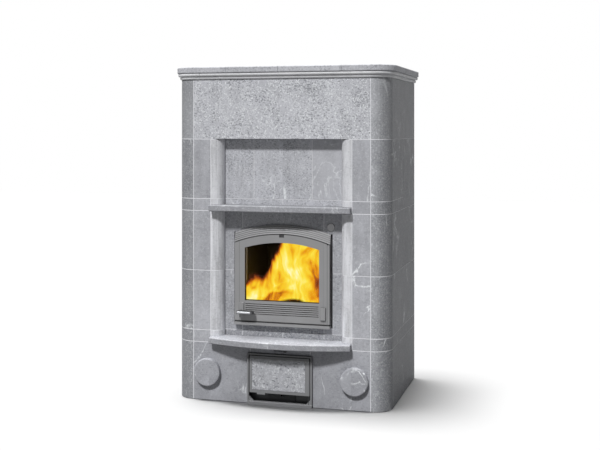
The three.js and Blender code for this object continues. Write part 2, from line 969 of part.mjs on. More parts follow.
// Leaf outline in plan: a half round about the hinge rod, with the back kept inside the rod's line.
function leafPlan() {
  return [
    [-doorHalfWidth, leafBack],
    [-doorHalfWidth, doorFront + arris],
    [-doorHalfWidth + arris, doorFront],
    ...arc(hingeX, hingeY, hingeRound, -90, 90, hingeSteps),
    [hingeX, leafBack],
  ];
}

function louvres() {
  return Array.from({ length: louvreCount }, (_, i) => {
    const z = leafFoot + louvreFoot + i * louvrePitch;
    const run = louvreDepth + cutDepth;
    const climb = (louvreRise * run) / louvreDepth;
    return across(
      [
        [doorFront - cutDepth, z],
        [doorFront - cutDepth + run, z + climb],
        [doorFront - cutDepth + run, z + climb + louvreHeight],
        [doorFront - cutDepth, z + louvreHeight],
      ],
      -louvreX,
      louvreX,
    );
  });
}

function doorLeaf() {
  const top = leafTopAt(0);
  const front = inward(archOutline(doorHalfWidth, leafFoot, leafRadius), doorFront - arris, leafBack);
  const blank = front.intersect(upright(leafPlan(), leafFoot - cutDepth, top + cutDepth));
  const halfBoss = latchBoss.width / 2;
  const bossBlock = inward(
    [
      [latchX - halfBoss, latchZ - latchBoss.down],
      [latchX + halfBoss, latchZ - latchBoss.down],
      [latchX + halfBoss, latchZ + latchBoss.up],
      [latchX - halfBoss, latchZ + latchBoss.up],
    ],
    doorFront - latchBoss.proud,
    leafBack - gasketDepth,
    latchBoss.ease,
  );
  const gasketOuter = doorHalfWidth - gasketInset + bed;
  const gasketInner = doorHalfWidth - gasketInset - gasketWidth - bed;
  const grooveStep = gasketWidth + 2 * bed;
  const grooveFoot = leafFoot + gasketInset / 2;
  const grooveRadius = leafRadius - gasketInset / 2;
  const grooveFloor = leafBack - gasketDepth;
  const gasketGroove = cut(
    inward(archOutline(gasketOuter, grooveFoot, grooveRadius), grooveFloor, leafBack + cutDepth),
    inward(
      archOutline(gasketInner, grooveFoot + grooveStep, grooveRadius - grooveStep),
      grooveFloor - cutDepth,
      leafBack + 2 * cutDepth,
    ),
  );
  const pocket = shutter.pocket;
  const stemRight = gripX + airGrip.width / 2 - airStem.fromRight;
  const stemZ = leafFoot + airGrip.bottom + airGrip.height / 2;
  return cut(
    join(blank, bossBlock),
    inward(archOutline(glassHalfWidth, glassFoot, glassRadius), 0, leafBack + cutDepth),
    inward(
      archOutline(glassHalfWidth + glassLap, glassFoot - glassLap, glassRadius + glassLap),
      glassFront - bed,
      leafBack + cutDepth,
    ),
    gasketGroove,
    ...louvres(),
    box(-notchWidth / 2, notchWidth / 2, 0, doorFront + notchDepth, top - notchHeight, top + cutDepth),
    box(hingeX - hingeStep, doorHalfWidth + cutDepth, 0, frameFront, leafTopAt(doorHalfWidth), top),
    rod(hingeX, hingeY, hingeRodRadius + hingeRunning, leafFoot - cutDepth, top + cutDepth),
    peg(latchX, latchZ, latchShaftRadius + hingeRunning, 0, leafBack + cutDepth, rodSteps),
    peg(
      latchX,
      latchZ,
      shaftCollar.radius + shaftCollar.play,
      collarFront - bed,
      leafBack + cutDepth,
      rodSteps,
    ),
    box(
      -shutterX - airTravel - shutter.clearance,
      stemRight + shutter.clearance + bed,
      leafBack - pocket,
      leafBack + cutDepth,
      leafFoot + shutter.low - shutter.clearance,
      leafFoot + shutter.high + shutter.clearance,
    ),
    box(
      stemRight - airStem.width - airTravel - bed,
      stemRight + bed,
      0,
      leafBack,
      stemZ - airStem.height / 2 - bed,
      stemZ + airStem.height / 2 + bed,
    ),
  );
}

function doorGlass() {
  const lap = glassLap - bed;
  const outline = archOutline(glassHalfWidth + lap, glassFoot - lap, glassRadius + lap);
  return inward(outline, glassFront, glassBack);
}

function glassRetainer() {
  const lap = glassLap - bed;
  const inner = lap - retainerWidth;
  return cut(
    inward(
      archOutline(glassHalfWidth + lap, glassFoot - lap, glassRadius + lap),
      leafBack - retainerThickness,
      leafBack,
    ),
    inward(
      archOutline(glassHalfWidth + inner, glassFoot - inner, glassRadius + inner),
      glassBack - cutDepth,
      leafBack + cutDepth,
    ),
  );
}

function doorGasket() {
  const outer = doorHalfWidth - gasketInset;
  const inner = outer - gasketWidth;
  const foot = leafFoot + gasketInset / 2 + bed;
  const radius = leafRadius - gasketInset / 2 - bed;
  const front = leafBack - gasketDepth + bed;
  const innerOutline = archOutline(inner, foot + gasketWidth, radius - gasketWidth);
  return cut(
    inward(archOutline(outer, foot, radius), front, leafBack + bed),
    inward(innerOutline, front - cutDepth, leafBack + cutDepth),
  );
}

function latchHandle() {
  const back = doorFront - latchBoss.proud - 2 * bed;
  const front = doorFront - handleReach;
  const x0 = latchX - handleInset;
  const x1 = x0 + handleLength;
  const half = handleThickness / 2;
  const rollY = front + handleRoll;
  const innerEnd = handleEndRadius / 2;
  const rise = THREE.MathUtils.radToDeg(Math.asin(half / handleRoll));
  const profile = [
    [back, latchZ - half],
    [back, latchZ + half],
    ...arc(rollY, latchZ, handleRoll, rise, 360 - rise, rollSteps),
  ];
  const plan = [
    [x0, back],
    ...arc(x0 + innerEnd, front + innerEnd, innerEnd, 180, 270, handleSteps / 2),
    ...arc(x1 - handleEndRadius, front + handleEndRadius, handleEndRadius, 270, 360, handleSteps),
    ...arc(x1 - handleEndRadius, back - handleEndRadius, handleEndRadius, 0, 90, handleSteps),
  ];
  const grip = across(profile, x0, x1).intersect(
    upright(plan, latchZ - handleRoll - cutDepth, latchZ + handleRoll + cutDepth),
  );
  const collarBack = leafBack - bed;
  return join(
    grip,
    peg(latchX, latchZ, latchShaftRadius, back - cutDepth, collarBack, rodSteps),
    peg(latchX, latchZ, shaftCollar.radius, collarFront, collarBack, rodSteps),
  );
}

function airSlide() {
  const half = airGrip.width / 2;
  const z0 = leafFoot + airGrip.bottom;
  const grip = inward(
    [
      [gripX - half, z0],
      [gripX + half, z0],
      [gripX + half, z0 + airGrip.height],
      [gripX - half, z0 + airGrip.height],
    ],
    doorFront - airGrip.proud,
    doorFront - bed,
    airGrip.ease,
  );
  const stemRight = gripX + half - airStem.fromRight;
  const stemZ = z0 + airGrip.height / 2;
  const plateY = leafBack - shutter.pocket + bed;
  const stem = box(
    stemRight - airStem.width,
    stemRight,
    doorFront - airGrip.ease - cutDepth,
    plateY + shutter.thickness,
    stemZ - airStem.height / 2,
    stemZ + airStem.height / 2,
  );
  const plate = box(
    -shutterX,
    stemRight + bed,
    plateY,
    plateY + shutter.thickness,
    leafFoot + shutter.low,
    leafFoot + shutter.high,
  );
  return join(grip, stem, plate);
}

function roundBoss() {
  const face = recessDepth - boss.proud;
  const back = recessDepth - bed;
  return turned(
    [
      [0, back],
      [boss.radius, back],
      [boss.radius, face + boss.ease],
      [boss.radius - boss.ease, face],
      [0, face - boss.ease / 2],
    ].reverse(),
    doorHalfWidth,
    doorApex - boss.belowApex,
  );
}

// ---------- Ash door ----------

function gusset(side) {
  const x = ashHalfWidth - ashWall;
  const z = ashLedge.height;
  const outline = [
    [x - ashGusset.leg, z - weld],
    [x + weld, z - weld],
    [x + weld, z + ashGusset.leg],
    [x, z + ashGusset.leg],
    [x - ashGusset.leg, z],
  ];
  const front = ashGusset.inset - ashProud;
  return inward(onSide(side, outline), front, front + ashGusset.thickness);
}

function ashFrame() {
  const inner = ashHalfWidth - ashWall;
  const top = ashHeight - ashWall;
  const sleeve = cut(
    box(-ashHalfWidth, ashHalfWidth, -ashProud, shellBack, 0, ashHeight),
    box(-inner, inner, -ashProud - cutDepth, frontThickness + cutDepth, ashWall, top),
  );
  const ledge = across(
    [
      [-ashLedge.reach, 0],
      [ashLedge.back, 0],
      [ashLedge.back, ashLedge.height],
      [-ashLedge.reach + arris, ashLedge.height],
      [-ashLedge.reach, ashLedge.height - arris],
    ],
    -ashHalfWidth,
    ashHalfWidth,
  );
  const reach = inner + weld;
  const port = { half: ashPort.halfWidth, front: ashPort.y, back: ashPort.y + ashPort.thickness };
  const plate = cut(
    box(-reach, reach, port.front, port.back, ashWall - weld, ashPort.top),
    box(-port.half, port.half, port.front - cutDepth, port.back + cutDepth, ashPort.low, ashPort.high),
  );
  const ribY = ashSlide.y - guideRib.play - guideRib.width;
  const rib = box(-reach, reach, ribY, ribY + guideRib.width, ashWall - weld, ashWall + guideRib.height);
  const hole = rod(ashRodX, ashRodY, ashRodRadius + bed, ashWall, ashHeight + cutDepth);
  return cut(join(sleeve, ledge, plate, rib, gusset(1), gusset(-1)), hole);
}

function ashDoorLeaf() {
  const top = ashLeafTop;
  const corner = ashRodInset;
  const plan = [
    [-ashLeafX, ashLeafBack],
    [-ashLeafX, ashLeafFront + arris],
    [-ashLeafX + arris, ashLeafFront],
    ...arc(ashRodX, ashRodY, corner, -90, 0, 5),
    [ashLeafX, ashLeafBack],
  ];
  const pocket = box(
    ashBorder.free - ashLeafX,
    ashLeafX - ashBorder.hinge,
    ashLeafFront - cutDepth,
    ashLeafFront + ashPanelDepth + ashPanelSink,
    ashLeaf.bottom + ashBorder.foot,
    top - ashBorder.top,
  );
  const tab = box(
    ashTab.left,
    ashTab.left + ashTab.width,
    ashLeafFront,
    ashLeafFront + ashTab.depth,
    ashLeaf.bottom - ashTab.height,
    ashLeaf.bottom + weld,
  );
  const bore = rod(ashRodX, ashRodY, ashRodRadius + ashRodRunning, 0, ashHeight);
  return cut(join(upright(plan, ashLeaf.bottom, top, ashEase), tab), pocket, bore);
}

function ashDoorPanel() {
  const y0 = ashLeafFront + ashPanelSink;
  const x0 = ashBorder.free - ashLeafX + bed;
  const x1 = ashLeafX - ashBorder.hinge - bed;
  const z0 = ashLeaf.bottom + ashBorder.foot + bed;
  const z1 = ashLeafTop - ashBorder.top - bed;
  const outline = [
    [x0, z0],
    [x1, z0],
    [x1, z1],
    [x0, z1],
  ];
  return inward(outline, y0, y0 + ashPanelDepth - bed, ashEase);
}

function ashHingeRod() {
  return rod(ashRodX, ashRodY, ashRodRadius, ashWall + bed, ashHeight - bed);
}

function ashAirSlide() {
  const { halfWidth: half, thickness, y, top } = ashSlide;
  const knobZ = top - ashKnob.below;
  return join(
    box(-half, half, y, y + thickness, ashWall + bed, top),
    peg(0, knobZ, ashKnob.radius, y - ashKnob.reach, y + thickness / 2, rodSteps),
  );
}

function airLever() {
  const z0 = ashHeight + leverSlot.low + bed;
  const z1 = z0 + leverSlot.height - 2 * bed;
  const x1 = leverSlot.halfWidth - 2 * bed;
  const x0 = x1 - lever.width;
  const middle = (z0 + z1) / 2;
  const knobX = (x0 + x1) / 2;
  const knob = upright(
    [
      [knobX - leverKnob.width / 2, -lever.stand - leverKnob.depth],
      [knobX + leverKnob.width / 2, -lever.stand - leverKnob.depth],
      [knobX + leverKnob.width / 2, -lever.stand],
      [knobX - leverKnob.width / 2, -lever.stand],
    ],
    middle - leverKnob.height / 2,
    middle + leverKnob.height / 2,
    leverKnob.ease,
  );
  return join(box(x0, x1, -lever.stand - leverKnob.depth / 2, lever.reach, z0, z1), knob);
}

function sootCover(side) {
  const profile = [
    [0, -sootProud],
    [sootRadius - sootEase, -sootProud],
    ...arc(sootRadius - sootEase, sootEase - sootProud, sootEase, -90, 0, edgeSteps).slice(1),
    [sootRadius, -bed],
    [spigotRadius, -bed],
    [spigotRadius, spigotLength],
    [0, spigotLength],
  ];
  return turned(profile, side * sootX, sootHeight);
}

// ---------- Assembly ----------

const stoneColour = { plain: 0xa3a7ae, pale: 0xb4b7bd, speckled: 0x9a9da3, core: 0x8d8a84 };
const ironColour = { cast: 0x8b8d91, dark: 0x37383b, bright: 0xc9cbce, rope: 0x3c3a38 };

function finish(color, roughness, metalness = 0) {
  return () => new THREE.MeshStandardMaterial({ color, roughness, metalness });
}

const plainStone = finish(stoneColour.plain, 0.75);
const paleStone = finish(stoneColour.pale, 0.7);
const speckledStone = finish(stoneColour.speckled, 0.8);
const coreStone = finish(stoneColour.core, 0.9);
const castIron = finish(ironColour.cast, 0.45, 0.7);
const darkSteel = finish(ironColour.dark, 0.55, 0.6);
const brightSteel = finish(ironColour.bright, 0.3, 0.9);
const ropeSeal = finish(ironColour.rope, 0.95);
const clearGlass = () =>
  new THREE.MeshStandardMaterial({ color: 0xe8e4da, roughness: 0.05, transparent: true, opacity: 0.25 });

const stove = new THREE.Group();
stove.name = "stove";
stove.position.y = -bodyDepth / 2;

function add(name, solid, material) {
  const mesh = new THREE.Mesh(toGeometry(solid), material());
  mesh.name = name;
  stove.add(mesh);
}

for (const [side, hand] of [
  [-1, "left"],
  [1, "right"],
]) {
  add("base_side_" + hand, sideStone(side, 0, lowBelt), plainStone);
  add("base_front_" + hand, baseFront(side), plainStone);
  add("lower_belt_" + hand, beltStone(side, lowBelt), plainStone);
  add("fire_side_lower_" + hand, sideStone(side, lowerRow, upperRow), plainStone);
  add("fire_side_upper_" + hand, sideStone(side, upperRow, highBelt), plainStone);
  add("jamb_lower_" + hand, jambStone(side, lowerRow), paleStone);
  add("jamb_upper_" + hand, jambStone(side, upperRow), paleStone);
  add("upper_belt_" + hand, highBeltStone(side), plainStone);
  add("niche_side_" + hand, nicheSide(side), plainStone);
  add("niche_jamb_" + hand, nicheJamb(side), paleStone);
  add("frieze_side_" + hand, sideStone(side, friezeRow, corniceFoot), plainStone);
  add("soot_cover_" + hand, sootCover(side), plainStone);
}

add("ash_lintel", ashLintel(), plainStone);
add("sill_stone", sillStone(), plainStone);
add("door_arch", doorArch(), plainStone);
add("upper_belt_recess", recessBelt(), plainStone);
add("frieze_stone", friezeStone(), speckledStone);

const panelEdge = nichePanelWidth / 2;
const panelRuns = {
  left: [bed - recessX, -panelEdge - bed / 2],
  centre: [bed / 2 - panelEdge, panelEdge - bed / 2],
  right: [panelEdge + bed / 2, recessX - bed],
};
for (const [place, [x0, x1]] of Object.entries(panelRuns)) {
  const outline = panelOutline(x0, x1, recessDepth);
  add("niche_panel_" + place, stone(outline, nicheRow, friezeRow), speckledStone);
}

add("mantel_shelf", straightShelf(), plainStone);
add("hearth_shelf", bowedShelf(), plainStone);
add("cornice_moulding", corniceMoulding(), plainStone);
add("top_slab", topSlab(), plainStone);
add("back_wall", backWall(), plainStone);

add("base_slab", baseSlab(), coreStone);
add("core_base", coreBase(), coreStone);
add("core_block", coreBlock(), coreStone);
add("firebox_lining", fireboxLining(), coreStone);
add("fire_grate", fireGrate(), darkSteel);
add("ash_pan", ashPan(), darkSteel);
add("flue_collar", flueCollar(), darkSteel);

add("fire_door_frame", doorFrame(), castIron);
add("fire_door_header", doorHeader(), castIron);
add("door_sill_bar", sillBar(), castIron);
add("fire_door_leaf", doorLeaf(), castIron);
add("door_glass", doorGlass(), clearGlass);
add("glass_retainer", glassRetainer(), darkSteel);
add("door_gasket", doorGasket(), ropeSeal);
add("latch_handle", latchHandle(), brightSteel);
add("air_slide", airSlide(), castIron);
add("round_boss", roundBoss(), brightSteel);

add("ash_door_frame", ashFrame(), darkSteel);
add("ash_door_leaf", ashDoorLeaf(), darkSteel);
add("ash_door_panel", ashDoorPanel(), speckledStone);
add("ash_hinge_rod", ashHingeRod(), darkSteel);
add("ash_air_slide", ashAirSlide(), darkSteel);
add("air_lever", airLever(), darkSteel);

const part = new THREE.Group();
part.name = "tiled_stove";
part.add(stove);

export default part;
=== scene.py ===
import bpy
import bmesh
import json
import math
import numpy as np
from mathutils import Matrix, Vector

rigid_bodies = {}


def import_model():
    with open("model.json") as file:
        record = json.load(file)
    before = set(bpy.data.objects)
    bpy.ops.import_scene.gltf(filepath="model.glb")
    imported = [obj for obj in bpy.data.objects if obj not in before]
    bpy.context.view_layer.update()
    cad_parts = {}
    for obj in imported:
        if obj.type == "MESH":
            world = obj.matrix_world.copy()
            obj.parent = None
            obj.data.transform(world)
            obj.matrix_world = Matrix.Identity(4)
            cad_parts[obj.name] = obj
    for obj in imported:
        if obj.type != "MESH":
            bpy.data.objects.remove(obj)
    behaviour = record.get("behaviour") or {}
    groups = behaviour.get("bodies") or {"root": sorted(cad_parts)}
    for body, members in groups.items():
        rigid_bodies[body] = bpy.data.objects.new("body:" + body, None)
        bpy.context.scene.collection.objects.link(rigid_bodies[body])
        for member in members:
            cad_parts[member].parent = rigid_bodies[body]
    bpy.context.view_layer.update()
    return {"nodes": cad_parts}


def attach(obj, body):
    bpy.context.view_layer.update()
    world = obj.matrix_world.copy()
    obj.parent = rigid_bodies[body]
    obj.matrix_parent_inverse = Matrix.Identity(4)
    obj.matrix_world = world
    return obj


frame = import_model()
cadNodes = frame["nodes"]
print("frame loaded:", len(cadNodes), "nodes")

# The stove's own sizes, in metres, in the frame of the model
stove = {
    "halfWidth": 0.55,
    "frontY": -0.365,
    "backY": 0.365,
    "corner": 0.088,  # radius of the rounded front corners
    "cornerSteps": 10,
    "seamX": 0.4575,  # joint between corner stone and flat
    "flatX": 0.365,  # joint between flat and pilaster
    "recessX": 0.305,
    "pilaster": 0.046,  # radius of the pilaster's inner edge
    "pilasterSteps": 6,
    "recessY": -0.315,
    "nicheY": 0.013,  # where the corner stone beside the niche ends
    "bodyTop": 1.619,  # underside of the cornice
    "archCentre": 0.153,  # height of the centre of the door's arch
}


# Sets inputs of a node by name or number: a socket is linked, and anything else becomes the value.
def setInputs(tree, node, inputs):
    for key, value in inputs.items():
        if isinstance(value, bpy.types.NodeSocket):
            tree.links.new(value, node.inputs[key])
        else:
            node.inputs[key].default_value = value


# One shader node, with its settings first and then its inputs
def addNode(tree, kind, inputs=None, **settings):
    node = tree.nodes.new(kind)
    for name, value in settings.items():
        setattr(node, name, value)
    setInputs(tree, node, inputs or {})
    return node


# One step of arithmetic on numbers or sockets, such as a less b, or a times b plus c
def calc(tree, operation, a, b=None, c=None):
    inputs = {i: v for i, v in enumerate((a, b, c)) if v is not None}
    return addNode(tree, "ShaderNodeMath", inputs, operation=operation).outputs[0]


# All the values multiplied together
def product(tree, first, *others):
    for other in others:
        first = calc(tree, "MULTIPLY", first, other)
    return first


# How far a value is from a middle, whichever way: |value - middle|
def awayFrom(tree, value, middle=0.5):
    return calc(tree, "ABSOLUTE", calc(tree, "SUBTRACT", value, middle))


# base + gain x (noise - 0.5), so that the noise swings both ways round the base
def swing(tree, noise, gain, base):
    return calc(tree, "MULTIPLY_ADD", calc(tree, "SUBTRACT", noise, 0.5), gain, base)


# tone x (1 + gain x mask)
def toned(tree, tone, mask, gain):
    return product(tree, tone, calc(tree, "MULTIPLY_ADD", mask, gain, 1.0))


# 0 at low and 1 at high with soft ends; low may be above high.
def between(tree, value, low, high):
    inputs = {"Value": value, "From Min": low, "From Max": high}
    node = addNode(tree, "ShaderNodeMapRange", inputs, interpolation_type="SMOOTHSTEP")
    return node.outputs["Result"]


# A vector or a colour times one factor
def scaled(tree, vector, factor):
    inputs = {0: vector, "Scale": factor}
    return addNode(tree, "ShaderNodeVectorMath", inputs, operation="SCALE").outputs["Vector"]


# Two vectors added, subtracted or multiplied part by part
def vectorCalc(tree, operation, a, b):
    node = addNode(tree, "ShaderNodeVectorMath", {0: a, 1: b}, operation=operation)
    return node.outputs["Vector"]


# Length of (place - point) x stretch, where stretch makes a round shape oval
def farFrom(tree, place, point, stretch):
    away = vectorCalc(tree, "MULTIPLY", vectorCalc(tree, "SUBTRACT", place, point), stretch)
    return addNode(tree, "ShaderNodeVectorMath", {0: away}, operation="LENGTH").outputs["Value"]


# The parts of a vector, as the sockets X, Y and Z
def partsOf(tree, vector):
    return addNode(tree, "ShaderNodeSeparateXYZ", {"Vector": vector}).outputs


# A vector stretched and moved: value x stretch + shift
def spread(tree, vector, stretch=(1, 1, 1), shift=(0, 0, 0)):
    inputs = {"Vector": vector, "Scale": stretch, "Location": shift}
    return addNode(tree, "ShaderNodeMapping", inputs).outputs["Vector"]


# Layered noise from 0 to 1 at a scale in patches to the metre, after any stretch and shift of the vector
def noiseOf(tree, vector, scale, detail=3.0, roughness=0.5, distortion=0.0, stretch=None, shift=None):
    if stretch or shift:
        vector = spread(tree, vector, stretch or (1, 1, 1), shift or (0, 0, 0))
    inputs = {"Vector": vector, "Scale": scale, "Detail": detail,
              "Roughness": roughness, "Distortion": distortion}
    return addNode(tree, "ShaderNodeTexNoise", inputs).outputs["Fac"]


# Distance to the nearest edge between random cells
def cellEdge(tree, vector, scale):
    inputs = {"Vector": vector, "Scale": scale}
    node = addNode(tree, "ShaderNodeTexVoronoi", inputs, feature="DISTANCE_TO_EDGE")
    return node.outputs["Distance"]


# Colours mixed by factor; the sockets of a colour mix are numbers 0, 6 and 7, and its result is 2.
def mixColour(tree, factor, a, b):
    return addNode(tree, "ShaderNodeMix", {0: factor, 6: a, 7: b}, data_type="RGBA").outputs[2]


# Numbers mixed by factor; the sockets of a number mix are 0, 2 and 3, and its result is 0.
def mixNumber(tree, factor, a, b):
    return addNode(tree, "ShaderNodeMix", {0: factor, 2: a, 3: b}).outputs[0]


# Colour along a ramp of stops, each a place from 0 to 1 and a colour, with straight blends from stop to stop
def rampOf(tree, value, stops):
    node = addNode(tree, "ShaderNodeValToRGB", {"Fac": value})
    elements = node.color_ramp.elements
    while len(elements) < len(stops):
        elements.new(0.5)
    for element, (place, colour) in zip(elements, stops):
        element.position = place
        element.color = (*colour, 1.0)
    return node.outputs["Color"]


# Normal of the surface raised by height x distance, in metres
def bumpOf(tree, height, strength, distance):
    inputs = {"Strength": strength, "Distance": distance, "Height": height}
    return addNode(tree, "ShaderNodeBump", inputs).outputs["Normal"]


# A group's tree. A vector and the numbers go in, each number with its usual value; of what comes out, the
# socket called Vector is a vector and the others are numbers.
def newGroup(name, numbers, outputs):
    tree = bpy.data.node_groups.new(name, "ShaderNodeTree")
    tree.interface.new_socket("Vector", in_out="INPUT", socket_type="NodeSocketVector")
    for label, value in numbers.items():
        socket = tree.interface.new_socket(label, in_out="INPUT", socket_type="NodeSocketFloat")
        socket.default_value = value
    for label in outputs:
        kind = "NodeSocketVector" if label == "Vector" else "NodeSocketFloat"
        tree.interface.new_socket(label, in_out="OUTPUT", socket_type=kind)
    return tree, tree.nodes.new("NodeGroupInput").outputs, tree.nodes.new("NodeGroupOutput")


# A group set into a tree, with its inputs
def placeGroup(tree, group, inputs):
    return addNode(tree, "ShaderNodeGroup", inputs, node_tree=group).outputs


# The soapstone's noises and how its marks come in
stonePattern = {
    "layers": {
        "cloud": {"scale": 7.0, "detail": 4.0, "roughness": 0.55, "distortion": 0.6},
        "streak": {"scale": 42.0, "detail": 5.0, "roughness": 0.6, "distortion": 0.4,
                   "stretch": (1, 1, 0.09)},
        "grain": {"scale": 430.0, "detail": 2.0, "roughness": 0.6},
        "mottle": {"scale": 46.0, "detail": 5.0, "roughness": 0.72, "distortion": 0.5,
                   "stretch": (1, 1, 1.25), "shift": (0.7, 3.9, 2.6)},
        "drift": {"scale": 9.0, "detail": 2.0, "shift": (3.1, 0.7, 1.9)},
        "thread": {"scale": 34.0, "detail": 4.0, "roughness": 0.6, "distortion": 1.6,
                   "shift": (5.3, 2.2, 0.4)},
        "fine": {"scale": 120.0, "detail": 3.0, "roughness": 0.6, "shift": (1.3, 8.2, 4.4)},
        "vein": {"scale": 4.2, "detail": 5.0, "roughness": 0.58, "distortion": 0.9,
                 "stretch": (1, 1, 0.5), "shift": (9.1, 4.2, 7.7)},
        "opening": {"scale": 5.2, "detail": 1.0, "shift": (2.9, 6.6, 3.3)},
        "broken": {"scale": 60.0, "detail": 4.0, "roughness": 0.7},
    },
    "fleck": {"detail": 2.5, "roughness": 0.55, "stretch": (1, 1, 1.5)},  # a little flattened
    "cloudGain": 3.2,
    "mottleGain": 2.0,
    "grainGain": 0.14,
    "driftGain": 0.34,  # how strongly the flecks gather in drifts
    # values between which a mark comes in; for thread and vein, distances from the noise's middle
    "from": {"fleck": (0.56, 0.63), "thread": (0.055, 0.010), "fine": (0.42, 0.60),
             "vein": (0.017, 0.001), "opening": (0.49, 0.63), "broken": (0.26, 0.66)},
    "fleckHeight": -0.7,
    "grainHeight": 0.35,
    "gloss": 0.52,
    "cloudGloss": 0.18,
    "darkColour": (0.075, 0.082, 0.095, 1),
    "paleColour": (0.80, 0.82, 0.84, 1),
    "bump": {"strength": 0.35, "distance": 0.0012},
    "specular": 0.18,
}


# Soapstone. Tone is 1 plus clouds, upright streaks, grain and mottle, each a noise round its middle. Dark
# flecks are the peaks of a noise that drifts gather. Pale threads and veins follow a bent noise's middle,
# broken or opened by other noises. Height is the grain less the flecks.
def buildSoapstone():
    tree, given, out = newGroup("soapstone", {
        "Fleck Scale": 75.0, "Dark Flecks": 0.3, "Pale Flecks": 0.3, "Veins": 0.3,
        "Streaks": 0.0, "Clouds": 0.1, "Mottle": 0.2}, ["Tone", "Dark", "Pale", "Height", "Roughness"])
    place, start = given["Vector"], stonePattern["from"]
    layer = {name: noiseOf(tree, place, **spec) for name, spec in stonePattern["layers"].items()}
    cloudGain = product(tree, given["Clouds"], stonePattern["cloudGain"])
    mottleGain = product(tree, given["Mottle"], stonePattern["mottleGain"])
    tone = swing(tree, layer["cloud"], cloudGain, 1.0)
    tone = swing(tree, layer["streak"], given["Streaks"], tone)
    tone = swing(tree, layer["grain"], stonePattern["grainGain"], tone)
    tone = swing(tree, layer["mottle"], mottleGain, tone)
    fleck = noiseOf(tree, place, given["Fleck Scale"], **stonePattern["fleck"])
    fleck = swing(tree, layer["drift"], stonePattern["driftGain"], fleck)
    dark = product(tree, between(tree, fleck, *start["fleck"]), given["Dark Flecks"])
    thread = between(tree, awayFrom(tree, layer["thread"]), *start["thread"])
    thread = product(tree, thread, between(tree, layer["fine"], *start["fine"]), given["Pale Flecks"])
    vein = between(tree, awayFrom(tree, layer["vein"]), *start["vein"])
    vein = product(tree, vein, between(tree, layer["opening"], *start["opening"]),
                   between(tree, layer["broken"], *start["broken"]), given["Veins"])
    grainHeight = product(tree, layer["grain"], stonePattern["grainHeight"])
    setInputs(tree, out, {
        "Tone": tone,
        "Dark": dark,
        "Pale": calc(tree, "MAXIMUM", thread, vein),
        "Height": calc(tree, "MULTIPLY_ADD", dark, stonePattern["fleckHeight"], grainHeight),
        "Roughness": calc(tree, "MULTIPLY_ADD", layer["cloud"], stonePattern["cloudGloss"],
                          stonePattern["gloss"])})
    return tree


castPattern = {
    "grainDetail": 3.0,
    "cloud": {"scale": 11.0, "detail": 4.0, "roughness": 0.6},
    "cloudGain": 3.0,
    "grainGain": 0.16,
    "cloudGloss": 0.2,
}


# Painted casting: tone is 1 plus broad clouds and fine sand grain, and height is the grain.
def buildCastSkin():
    tree, given, out = newGroup("castSkin", {"Grain Scale": 700.0, "Clouds": 0.12, "Roughness": 0.36},
                                ["Tone", "Height", "Roughness"])
    grain = noiseOf(tree, given["Vector"], given["Grain Scale"], castPattern["grainDetail"])
    cloud = noiseOf(tree, given["Vector"], **castPattern["cloud"])
    cloudGain = product(tree, given["Clouds"], castPattern["cloudGain"])
    tone = swing(tree, cloud, cloudGain, 1.0)
    setInputs(tree, out, {
        "Tone": swing(tree, grain, castPattern["grainGain"], tone),
        "Height": grain,
        "Roughness": calc(tree, "MULTIPLY_ADD", cloud, castPattern["cloudGloss"], given["Roughness"])})
    return tree


# rightCells is added to a zone's number right of the middle; step is the move in the pattern per number.
cellPattern = {"rightCells": 5.0, "step": (1.73, 0.61, 2.37), "tintSpread": 0.12}


# The zones between the upright joints, numbered from the middle outwards and by the seed. The place moves by
# number x step, and the tint is 1 plus a chance from the number, so that no two stones look alike.
def buildStoneCells():
    tree, given, out = newGroup("stoneCells", {"Seed": 0.0, "Spread": 0.12}, ["Vector", "Tint", "Distance"])
    across = partsOf(tree, given["Vector"])["X"]
    distance = calc(tree, "ABSOLUTE", across)
    cell = product(tree, calc(tree, "GREATER_THAN", across, 0.0), cellPattern["rightCells"])
    for edge in (stove["recessX"], stove["flatX"], stove["seamX"]):
        cell = calc(tree, "ADD", cell, calc(tree, "GREATER_THAN", distance, edge))
    cell = calc(tree, "ADD", cell, given["Seed"])
    chance = addNode(tree, "ShaderNodeTexWhiteNoise", {"W": cell}, noise_dimensions="1D").outputs["Value"]
    setInputs(tree, out, {
        "Vector": vectorCalc(tree, "ADD", given["Vector"], scaled(tree, cellPattern["step"], cell)),
        "Tint": swing(tree, chance, given["Spread"], 1.0),
        "Distance": distance})
    return tree


soapstone, castSkin, stoneCells = buildSoapstone(), buildCastSkin(), buildStoneCells()
print("shared effects built")

